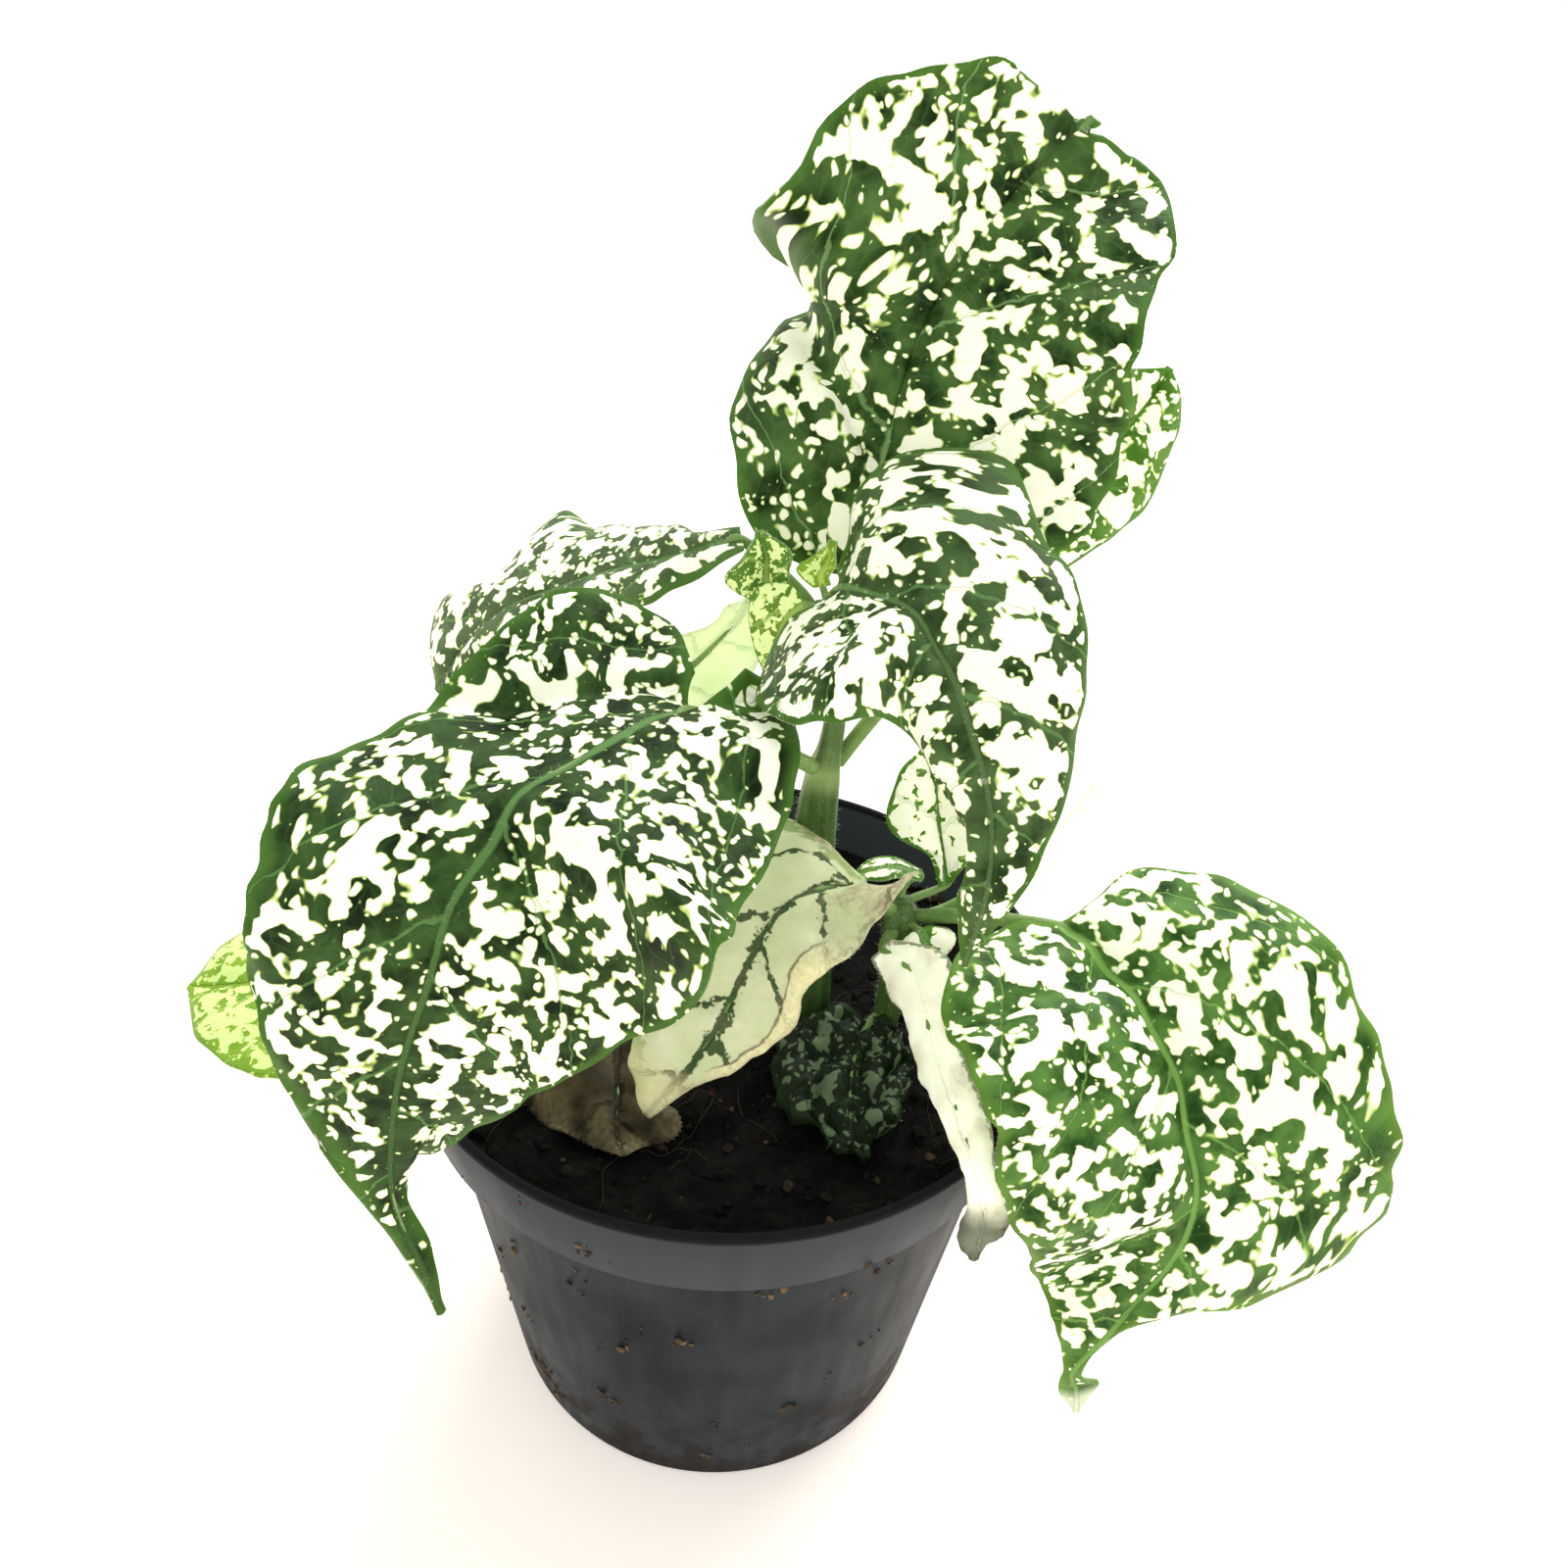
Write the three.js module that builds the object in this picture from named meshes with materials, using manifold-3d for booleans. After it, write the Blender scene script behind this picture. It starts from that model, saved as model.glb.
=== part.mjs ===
// A polka dot plant in a small nursery pot: a tapered plastic pot with a banded rim, filled with peaty soil,
// and two soft green stems whose opposite leaves arch out and droop over the rim. Millimetres, +Z up.
// The origin is the middle of the pot's underside.
import * as THREE from 'three';
import Module from 'manifold-3d';
import { LoftGeometry } from 'three/addons/geometries/LoftGeometry.js';
import { mergeVertices } from 'three/addons/utils/BufferGeometryUtils.js';

const wasm = await Module();
wasm.setup();

// Pot: a banded rim over a tapered body, with drain holes near the edge of its floor.
const POT_HEIGHT = 73;
const RIM_RADIUS = 45;
const BASE_RADIUS = 33.5;
const BAND_HEIGHT = 12;
const BAND_FOOT_RADIUS = 43.2;
const SHOULDER_RADIUS = 40.6;
const STEP_DROP = 0.8;
const EDGE_ROUND = 0.8;
const WALL = 1.2;
const FLOOR = 1.6;
const DRAIN_HOLES = 8;
const DRAIN_RADIUS = 2.6;
const DRAIN_CIRCLE = 25;
const DRAIN_SIDES = 12;
const POT_SIDES = 48;

// Soil: fills the pot to a little under the rim and is lumpy on top.
const SOIL_TOP = 64;
const SOIL_LUMP = 0.35;
const LUMP_PITCH = 0.5;
const SOIL_CLEAR = 0.4;
const SOIL_RINGS = 7;

// Foliage
const FIT_GAP = 0.35;
const BLADE_THICKNESS = 0.8;
const BLADE_ROWS_PER_SPAN = 2;
const BLADE_COLUMNS = 4;
const TIP_HALF_WIDTH = 0.5;
const PETIOLE_RADIUS = 1;
const PETIOLE_SIDES = 5;
const PETIOLE_STEPS = 2;
const RIB_ROWS = 2;
const RIB_TAPER = 0.2;
const STEM_SIDES = 12;
const STEM_STEPS = 2;
const STEM_CORNER = 0.08;

// Colours and roughness
const POT_GREY = 0x2c3036;
const POT_ROUGHNESS = 0.5;
const SOIL_BROWN = 0x1d1613;
const SOIL_ROUGHNESS = 0.95;
const STEM_GREEN = 0x5f8a3c;
const STEM_ROUGHNESS = 0.5;
const LEAF_GREEN = 0x3f6b3a;
const LEAF_ROUGHNESS = 0.55;

// Stems: a point on the centre line and the radius there.
const STEMS = {
  stem_main: [
    [11, 0, 52, 3.5],
    [11, 0, 66, 3.5],
    [10.5, 0.1, 84, 3.3],
    [10.1, 0.2, 96, 2.9],
    [10.5, 0, 105, 2.3],
    [11, 0, 109, 1.6],
    [11.3, 0, 114, 1.4],
    [10.6, 0, 120, 1.4],
    [9.4, 0, 126, 2.0],
    [9, 0, 129, 1.2],
  ],
  stem_side: [
    [22, -4, 54, 1.9],
    [22, -4, 66, 1.8],
    [22, -4, 80, 1.7],
    [22, -3.8, 86, 2.3],
    [22, -3.6, 89, 1.5],
  ],
};

// Each leaf has a petiole, given by points from its stem towards the foot of the blade, and a blade, given by rows
// from foot to tip: a point on the midrib, then the left and the right half there. Left and right are as seen on the
// upper side with the tip pointing away. A half is its reach from the midrib, how steeply it rises in degrees, how far
// its edge is swept towards the tip, and how far it bulges upwards. faces holds the way the upper side looks at the
// foot, in the middle and at the tip. A leaf with no color is dark green.
const LEAVES = {
  leaf_top: {
    stem: 'stem_main',
    petiole: [[10.3, 1.2, 125.5], [12, 4.5, 127.5]],
    faces: [[-0.1, -0.8, 0.5], [-0.1, -0.9, 0.4], [-0.1, -0.8, 0.6]],
    rows: [
      [[14, 8, 132], [3, 22, -3, 0], [4, 10, -3, 0]],
      [[14, 9, 135], [8, 24, -5, 1], [12, 9, -5, 1]],
      [[14, 10, 139], [14, 27, -7, 1], [22, 6, -3, 1]],
      [[15, 12, 143], [18, 28, -5, 2], [24.5, 0, -2, 2]],
      [[16, 14, 149], [18, -6, -2, 2], [25, -3, 3, 2]],
      [[18, 16, 155], [20, -32, 0, 2], [23, 6, 4, 2]],
      [[20, 18, 160], [22.5, 29, -4, 2], [21, 8, 7, 2]],
      [[24, 20, 166], [21, 31, -1, 2], [17, -12, 11, 2]],
      [[27, 21, 170], [17, 33, 0, 1], [11, -31, 11, 1]],
      [[31, 22, 174], [12, 40, 0, 1], [5, -35, 4, 1]],
      [[33, 22, 176], [6, 40, 0, 0], [1, -35, 0, 0]],
      [[34, 21, 178], [0, 30, 0, 0], [0, -30, 0, 0]],
    ],
  },
  leaf_right_middle: {
    stem: 'stem_main',
    petiole: [[9.4, -1.4, 126], [9.6, -3.2, 130]],
    faces: [[0, -0.5, 0.85], [0.3, -0.75, 0.6], [0.5, -0.8, 0.25]],
    rows: [
      [[10, -5, 133], [2, 23, -2, 0], [2, -21, -1, 0]],
      [[11, -7, 134], [5, 26, -5, 0], [6, -22, -6, 0]],
      [[13, -10, 135], [10, 22, -8, 1], [16, -7, -3, 1]],
      [[16, -12, 135], [16, 16, -10, 2], [18, 4, 3, 1]],
      [[18, -15, 135], [19, 13, -11, 2], [14, -8, 6, 2]],
      [[20, -18, 133], [16, 11, -8, 2], [8, -30, 3, 2]],
      [[22, -21, 131], [16, 7, -7, 2], [7, -62, 4, 2]],
      [[24, -24, 127], [14, 10, -4, 2], [7, -85, 6, 2]],
      [[26, -26, 122], [10, 12, -3, 2], [4, -85, 6, 1]],
      [[27, -28, 117], [7, 15, -2, 1], [3, -80, 4, 1]],
      [[27, -30, 111], [4, 19, -2, 0], [3, -70, 2, 0]],
      [[26, -30, 102], [0, 19, 0, 0], [0, -70, 0, 0]],
    ],
  },
  leaf_left_front: {
    stem: 'stem_main',
    petiole: [[10, -1, 106.5], [4, -8, 114]],
    faces: [[0, -0.4, 0.9], [-0.3, -0.65, 0.7], [-0.3, -0.9, 0.2]],
    rows: [
      [[-4, -16, 123], [6, 80, -3, 0], [4, 10, -3, 0]],
      [[-6, -19, 124], [6, 35, -11, 0], [11, 4, -11, -1]],
      [[-8, -22, 125], [14, 15, -6, 0], [16, 2, -12, -3]],
      [[-11, -26, 125], [16, -8, -9, 1], [21, -6, -10, -3]],
      [[-15, -30, 124], [22, -3, -3, 2], [22, -13, -6, -3]],
      [[-19, -34, 123], [25, -4, 2, 2], [18, -11, -3, -1]],
      [[-21, -38, 120], [23, -43, 7, 2], [19, -1, -3, 1]],
      [[-24, -42, 116], [18, -50, 13, 2], [19, 16, -4, 2]],
      [[-26, -45, 109], [12, -57, 15, 2], [18, 24, -7, 2]],
      [[-29, -47, 100], [8, -71, 14, 1], [16, 26, -8, 2]],
      [[-31, -48, 90], [3, -85, 6, 1], [11, 27, -8, 1]],
      [[-32, -48, 80], [2, -90, 1, 0], [5, 31, -9, 1]],
      [[-30, -49, 72], [2, -90, 1, 0], [2, 26, -7, 0]],
      [[-28, -50, 64], [0, -90, 0, 0], [0, 26, 0, 0]],
    ],
  },
  leaf_left_back: {
    stem: 'stem_main',
    petiole: [[8.9, 1, 125.2], [6, 4.2, 128]],
    petioleRadius: 0.8,
    faces: [[-0.2, -0.1, 0.95], [-0.3, -0.15, 0.95], [-0.6, -0.3, 0.7]],
    rows: [
      [[-1, 4.5, 134], [2, -14, 0, 0], [2, 15, 0, 0]],
      [[-6, 4, 132], [5, -1, 0, 1], [4, 2, 0, 1]],
      [[-11, 5, 130], [7, -8, -2, 1], [9, 0, 1, 1]],
      [[-18, 7, 127], [8, -10, -2, 1], [13, -2, 5, 1]],
      [[-24, 8, 124], [10, -14, -1, 1], [16, 6, 1, 1]],
      [[-30, 8, 121], [8, -21, 3, 1], [12, -6, 3, 1]],
      [[-35, 8, 116], [5, -20, 5, 1], [12, 5, 3, 1]],
      [[-39, 6, 110], [0, -20, 0, 0], [0, 5, 0, 0]],
    ],
  },
  leaf_right_front: {
    stem: 'stem_side',
    petiole: [[23.2, -4, 86.6], [31, -6, 89]],
    faces: [[0.2, -0.45, 0.87], [0.3, -0.75, 0.6], [0.4, -0.85, 0.3]],
    rows: [
      [[41, -10, 92], [4, 16, 0, 0], [3, -13, -3, 0]],
      [[42, -12, 92], [13, 7, -2, 1], [8, -9, -7, 1]],
      [[44, -14, 92], [17, 8, 1, 1], [16, 4, -8, 1]],
      [[46, -16, 90], [21, 13, 3, 2], [22, 7, -7, 2]],
      [[49, -19, 89], [23, 16, 6, 2], [24, 8, -4, 2]],
      [[51, -23, 87], [23, 21, 8, 2], [25, 8, -3, 2]],
      [[54, -26, 83], [23, 22, 8, 2], [25, 5, -1, 2]],
      [[55, -30, 79], [24, 17, 8, 2], [25, 1, 0, 2]],
      [[57, -33, 73], [23, 12, 8, 2], [21, -8, 4, 2]],
      [[57, -35, 67], [19, 9, 3, 2], [16, -19, 10, 1]],
      [[55, -37, 62], [12, 3, -1, 1], [8, -24, 12, 1]],
      [[52, -39, 59], [6, 3, -1, 1], [5, -27, 9, 1]],
      [[49, -41, 54], [1, 12, -2, 0], [3, -32, 5, 0]],
      [[46, -42, 48], [1, 27, 0, 0], [1, -40, 1, 0]],
      [[47, -42, 44], [3, 11, 0, 0], [2, -40, 1, 0]],
      [[48, -42, 39], [0, 11, 0, 0], [0, -40, 0, 0]],
    ],
  },
  leaf_right_back: {
    stem: 'stem_main',
    petiole: [[11.6, 0.6, 106], [15.5, 2, 112], [24, 10, 120]],
    faces: [[-0.3, -0.8, 0.5], [-0.3, -0.8, 0.5], [-0.3, -0.8, 0.5]],
    rows: [
      [[34, 18, 127], [4, 30, -1, 0], [3, -30, -1, 0]],
      [[38, 21, 132], [9, 39, 0, 1], [6, -34, 0, 1]],
      [[42, 24, 137], [11, 39, 1, 1], [8, -33, 0, 1]],
      [[45, 26, 142], [9, 38, 2, 1], [7, -33, 2, 1]],
      [[48, 28, 146], [5, 37, 1, 1], [4, -34, 2, 1]],
      [[50, 29, 150], [0, 37, 0, 0], [0, -34, 0, 0]],
    ],
  },
  leaf_left_low: {
    color: 0x93a83c,
    stem: 'stem_main',
    petiole: [[9.5, -0.5, 80], [0, -4, 84], [-14, -7, 83]],
    faces: [[0, -0.1, 1], [-0.1, -0.3, 0.95], [-0.3, -0.3, 0.9]],
    rows: [
      [[-25, -8, 81], [4, 10, -2, 0], [4, -9, -2, 0]],
      [[-36, -9, 79], [12, 0, -1, 1], [12, -5, -1, 1]],
      [[-48, -10, 76], [16, 10, -1, 1], [17, -10, 2, 1]],
      [[-60, -10, 73], [16, 15, -3, 1], [16, -15, 4, 1]],
      [[-67, -10, 71.5], [10, 20, -1, 1], [8, -15, 3, 1]],
      [[-72, -10, 71], [0, 20, 0, 0], [0, -15, 0, 0]],
    ],
  },
  leaf_cream_front: {
    color: 0xe4e3c6,
    stem: 'stem_side',
    petiole: [[21.2, -4.4, 87.6]],
    faces: [[0.1, -0.5, 0.85], [0.1, -0.75, 0.65], [0, -0.9, 0.4]],
    rows: [
      [[17, -9, 94], [7, 100, -3, 0], [2, 0, 0, 0]],
      [[12, -12, 97], [9, 40, 0, 1], [7, -22, -3, 1]],
      [[8, -15, 97], [10, 25, 0, 1], [12, -32, -7, 1]],
      [[5, -18, 95], [9, 31, 4, 1], [12, -39, -4, 1]],
      [[3, -21, 92], [9, 20, 5, 1], [10, -35, 0, 1]],
      [[1, -24, 88], [7, -10, 5, 1], [10, -27, 3, 1]],
      [[-2, -27, 83], [3, -15, 4, 1], [7, -31, 7, 1]],
      [[-8, -29, 74], [0, -15, 0, 0], [0, -31, 0, 0]],
    ],
  },
  leaf_cream_side: {
    color: 0xdcdba6,
    stem: 'stem_side',
    petiole: [[21.6, -4.6, 85.6]],
    columns: 2,
    faces: [[-0.1, -0.6, 0.8], [0.1, -0.6, 0.8], [0.5, -0.8, 0.3]],
    rows: [
      [[19.8, -7.8, 84.2], [1.5, 33, 1, 0], [2, 0, 0, 0]],
      [[23, -12, 85], [5, 36, 3, 0.5], [4, -42, -1, 0.5]],
      [[25, -18, 83], [4, 46, 2, 0.5], [4, -55, 0, 0.5]],
      [[27, -25, 81], [3, 45, 1, 0.5], [4, -65, -1, 0.5]],
      [[29, -32, 79], [3, 10, 0, 0.5], [3, -74, 0, 0.5]],
      [[31, -37, 76], [2, 0, 0, 0.5], [3, -79, 1, 0.5]],
      [[32, -38, 70], [3, 16, 1, 0.5], [3, -71, 5, 0.5]],
      [[32, -38, 63], [0, 16, 0, 0], [0, -71, 0, 0]],
    ],
  },
  leaf_small_back: {
    color: 0xcdd8c2,
    stem: 'stem_side',
    petiole: [[22.6, -2.7, 88.1]],
    petioleRadius: 0.6,
    columns: 2,
    faces: [[-0.2, -0.8, 0.5], [-0.2, -0.85, 0.4], [-0.2, -0.85, 0.4]],
    rows: [
      [[28, 0, 89], [1, 30, 0, 0], [1, 20, 1, 0]],
      [[27, 1, 94], [2, 31, 0, 1], [5, 21, 1, 1]],
      [[26, 2, 98], [7, 34, 1, 1], [7, 20, 1, 1]],
      [[25, 3, 103], [5, 34, 3, 1], [6, 19, 2, 1]],
      [[23, 4, 108], [0, 34, 0, 0], [0, 19, 0, 0]],
    ],
  },
  leaf_small_flat: {
    color: 0xbfdcb4,
    stem: 'stem_side',
    petiole: [[21.6, -3.2, 88.6], [22.6, -1.6, 90.4]],
    petioleRadius: 0.5,
    columns: 2,
    faces: [[0, -0.2, 1], [0, -0.2, 1], [0, -0.2, 1]],
    rows: [
      [[24.5, -1.2, 91.3], [1, 7, 0, 0], [1, -6, 0, 0]],
      [[21, -1.2, 92.3], [2, 11, 0, 0], [2, -10, 0, 0]],
      [[18, -2, 92.3], [2, 13, 0, 0], [2, -12, 0, 0]],
      [[15, -3, 91.5], [0, 13, 0, 0], [0, -12, 0, 0]],
    ],
  },
  leaf_small_cup: {
    color: 0xd3dcae,
    stem: 'stem_side',
    petiole: [[22.6, -4.6, 86.2]],
    petioleRadius: 0.5,
    columns: 2,
    faces: [[0, -0.5, 0.9], [0, -0.7, 0.7], [0, -0.4, 0.9]],
    rows: [
      [[24.3, -7.4, 87.4], [2, -25, 0, 0], [2, -20, 0, 0]],
      [[25, -8.4, 86.7], [4.2, -30, 0, 1], [3.4, -30, 0, 1]],
      [[25.5, -9.2, 85], [4.2, -20, 1, 1], [2.8, -35, 0, 1]],
      [[27, -9.6, 82.6], [0, -22, 0, 0], [0, -43, 0, 0]],
    ],
  },
  leaf_pale_under: {
    color: 0xc6d2b6,
    stem: 'stem_main',
    petiole: [[10, 1, 106.5], [0, 5, 104]],
    petioleRadius: 0.8,
    columns: 2,
    faces: [[0.1, 0.8, 0.4], [0.1, 0.8, 0.4], [0.1, 0.8, 0.4]],
    rows: [
      [[-13, 7, 108], [4, -40, 0, 0], [4, -20, 0, 0]],
      [[-9, 6, 114], [6, -55, 2, 1], [5, 1, 2, 1]],
      [[-6, 6, 117], [6, -57, 3, 1], [4, 4, 1, 1]],
      [[-3, 5, 121], [6, -52, 2, 1], [2, -1, 1, 1]],
      [[-1, 4, 124], [4, -43, 1, 1], [2, -8, 1, 1]],
      [[0, 3, 127], [0, -43, 0, 0], [0, -8, 0, 0]],
    ],
  },
  leaf_tip_back: {
    stem: 'stem_main',
    petiole: [[8.6, 0.3, 127.4], [5.5, 1.4, 128]],
    petioleRadius: 0.5,
    columns: 2,
    faces: [[0, -0.8, 0.5], [0, -0.8, 0.5], [0, -0.8, 0.5]],
    rows: [
      [[3, 2.3, 128.4], [2, 23, 0, 0], [2, 28, 0, 0]],
      [[2, 1.9, 130.4], [5, 26, 2, 0], [3, 27, 1, 0]],
      [[2, 1.5, 133.2], [3, 25, 1, 0], [3, 26, 1, 0]],
      [[1, 1.7, 136.2], [0, 25, 0, 0], [0, 26, 0, 0]],
    ],
  },
  leaf_tip_hanging: {
    color: 0x6f8f45,
    stem: 'stem_main',
    petiole: [[8.8, -0.6, 128]],
    petioleRadius: 0.5,
    columns: 2,
    faces: [[0, -0.7, 0.7], [0, -0.8, 0.5], [0, -0.9, 0.3]],
    rows: [
      [[7, -1.2, 129], [1, 0, 0, 0], [3, 5, 0, 0]],
      [[5, -1.8, 127.4], [2, 0, -1, 0], [5, 5, 0, 0]],
      [[4, -2.4, 125], [2, -15, 1, 0], [3, -10, 1, 0]],
      [[3, -4, 120], [0, -25, 0, 0], [0, -23, 0, 0]],
    ],
  },
  leaf_tip_yellow: {
    color: 0xa9b85a,
    stem: 'stem_main',
    petiole: [[9.4, 0.3, 128.4]],
    petioleRadius: 0.5,
    columns: 2,
    faces: [[0, -0.8, 0.5], [0, -0.8, 0.5], [0, -0.8, 0.5]],
    rows: [
      [[8.6, 0.8, 130.4], [1, 23, 0, 0], [1, 28, 0, 0]],
      [[8.3, 1.3, 131.6], [3, 25, 0, 0], [1, 26, 0, 0]],
      [[9, 2, 133], [2, 27, 0, 0], [1, 23, 0, 0]],
      [[9.4, 2.4, 135.4], [0, 27, 0, 0], [0, 23, 0, 0]],
    ],
  },
  leaf_shade: {
    color: 0x33452c,
    stem: 'stem_side',
    petiole: [[21.8, -4.4, 69]],
    petioleRadius: 0.7,
    faces: [[0, -0.3, 0.9], [0, -0.5, 0.8], [0, -0.5, 0.8]],
    rows: [
      [[20, -6, 70], [2, -15, -1, 0], [3, -15, 0, 0]],
      [[18, -10, 69.5], [5, -15, -4, 1], [10, -12, 1, 1]],
      [[17, -16, 69], [8, -10, -5, 1], [11, -12, -4, 1]],
      [[17, -23, 68], [7, -10, -1, 1], [8, -15, -4, 1]],
      [[19, -27, 66], [0, -10, 0, 0], [0, -15, 0, 0]],
    ],
  },
  leaf_brown_soil: {
    color: 0x85653f,
    columns: 2,
    faces: [[0, -0.1, 1], [0, -0.1, 1], [0, -0.1, 1]],
    rows: [
      [[-14, -6, 66.5], [3, 0, 0, 0], [4, 0, 0, 0]],
      [[-14, -14, 67], [8, -3, 0, 0.5], [11.5, -3, 0, 0.5]],
      [[-13, -20, 66.5], [5.5, -3, 0, 0.5], [11.5, -3, 0, 0.5]],
      [[-12.5, -25, 66], [8, -3, 1, 0.5], [5.5, -3, 0, 0.5]],
      [[-11, -28.5, 65.5], [0, 0, 0, 0], [0, 0, 0, 0]],
    ],
  },
  leaf_pale_right: {
    color: 0xe6eadd,
    stem: 'stem_side',
    petiole: [[22.6, -3, 85.4], [28, 0.5, 84.6]],
    petioleRadius: 0.6,
    columns: 2,
    faces: [[-0.1, -0.8, 0.6], [-0.1, -0.8, 0.6], [-0.1, -0.8, 0.6]],
    rows: [
      [[35, 3, 88], [3, 22, 0, 0], [2, 29, 1, 0]],
      [[40, 6, 91], [5, 22, 0, 0], [4, 30, 1, 0]],
      [[44, 9, 94], [5, 22, 1, 0], [3, 30, 1, 0]],
      [[48, 11, 100], [0, 22, 0, 0], [0, 30, 0, 0]],
    ],
  },
};

// Closed solid with merged vertices.
function solid(geometry) {
  const plain = new THREE.BufferGeometry();
  plain.setAttribute('position', geometry.attributes.position);
  plain.setIndex(geometry.index);
  const merged = mergeVertices(plain, 1e-3);
  const index = merged.index.array;
  const kept = [];
  for (let i = 0; i < index.length; i += 3) {
    const [a, b, c] = [index[i], index[i + 1], index[i + 2]];
    if (a !== b && b !== c && a !== c) kept.push(a, b, c);
  }
  return new wasm.Manifold(
    new wasm.Mesh({
      numProp: 3,
      vertProperties: merged.attributes.position.array,
      triVerts: new Uint32Array(kept),
    }),
  );
}

function meshOf(name, body, material) {
  const made = body.getMesh();
  const geometry = new THREE.BufferGeometry();
  const position = new Float32Array(made.numVert * 3);
  for (let i = 0; i < made.numVert; i++) {
    position.set(made.vertProperties.subarray(i * made.numProp, i * made.numProp + 3), i * 3);
  }
  geometry.setAttribute('position', new THREE.BufferAttribute(position, 3));
  geometry.setIndex(new THREE.BufferAttribute(made.triVerts, 1));
  geometry.computeVertexNormals();
  const mesh = new THREE.Mesh(geometry, material);
  mesh.name = name;
  return mesh;
}

function vector(values) {
  return new THREE.Vector3(values[0], values[1], values[2]);
}

// Catmull-Rom curve through rows of numbers, at u from 0 to rows.length - 1.
function along(rows, u) {
  const last = rows.length - 1;
  const k = Math.min(Math.floor(u), last - 1);
  const t = u - k;
  return rows[k].map((b, i) => {
    const c = rows[k + 1][i];
    const a = k > 0 ? rows[k - 1][i] : 2 * b - c;
    const d = k + 2 <= last ? rows[k + 2][i] : 2 * c - b;
    return b + 0.5 * t * (c - a + t * (2 * a - 5 * b + 4 * c - d + t * (3 * (b - c) + d - a)));
  });
}

// Tube along rows of [x, y, z, radius]. corner makes the section four-cornered, grow makes it larger all round.
function tube(rows, steps, sides, corner = 0, grow = 0) {
  const last = rows.length - 1;
  let across = new THREE.Vector3(1, 1, 0).normalize();
  const sections = [];
  for (let i = 0; i <= steps; i++) {
    const u = (i / steps) * last;
    const row = along(rows, u);
    const ahead = vector(along(rows, Math.min(u + 0.02, last)));
    const behind = vector(along(rows, Math.max(u - 0.02, 0)));
    const tangent = ahead.sub(behind).normalize();
    across = across.clone().addScaledVector(tangent, -across.dot(tangent)).normalize();
    const side = new THREE.Vector3().crossVectors(tangent, across);
    const centre = vector(row);
    if (i === 0) centre.addScaledVector(tangent, -grow);
    if (i === steps) centre.addScaledVector(tangent, grow);
    const ring = [];
    for (let j = 0; j < sides; j++) {
      const angle = (j / sides) * 2 * Math.PI;
      const radius = row[3] * (1 + corner * Math.cos(4 * angle)) + grow;
      ring.push(
        centre
          .clone()
          .addScaledVector(across, radius * Math.cos(angle))
          .addScaledVector(side, radius * Math.sin(angle)),
      );
    }
    sections.push(ring);
  }
  return solid(new LoftGeometry(sections, { capStart: true, capEnd: true }));
}

function stemBody(name, grow = 0) {
  const rows = STEMS[name];
  return tube(rows, STEM_STEPS * (rows.length - 1), STEM_SIDES, STEM_CORNER, grow);
}

// The way a blade's upper side looks at share s of its length.
function facing(faces, s) {
  const [foot, middle, tip] = faces.map(vector);
  const from = s < 0.5 ? foot : middle;
  const to = s < 0.5 ? middle : tip;
  const share = s < 0.5 ? 2 * s : 2 * s - 1;
  return from.clone().lerp(to, share).normalize();
}

// Point of a blade at row position u, and across from -1, the left edge, to 1, the right edge.
function bladePoint(leaf, u, across) {
  const rows = leaf.rows.map((row) => row.flat());
  const last = rows.length - 1;
  const row = along(rows, u);
  const ahead = vector(along(rows, Math.min(u + 1, last)));
  const behind = vector(along(rows, Math.max(u - 1, 0)));
  const tangent = ahead.sub(behind).normalize();
  const up = facing(leaf.faces, u / last);
  up.addScaledVector(tangent, -up.dot(tangent)).normalize();
  const outward = new THREE.Vector3().crossVectors(tangent, up).multiplyScalar(Math.sign(across));
  const [reach, lift, sweep, bow] = across < 0 ? row.slice(3, 7) : row.slice(7);
  const share = Math.abs(across);
  const cosine = Math.cos(THREE.MathUtils.degToRad(lift));
  const sine = Math.sin(THREE.MathUtils.degToRad(lift));
  const length = Math.max(reach, TIP_HALF_WIDTH) * share;
  const rise = 4 * bow * share * (1 - share);
  return vector(row)
    .addScaledVector(outward, length * cosine - rise * sine)
    .addScaledVector(up, length * sine + rise * cosine)
    .addScaledVector(tangent, sweep * share * share);
}

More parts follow.
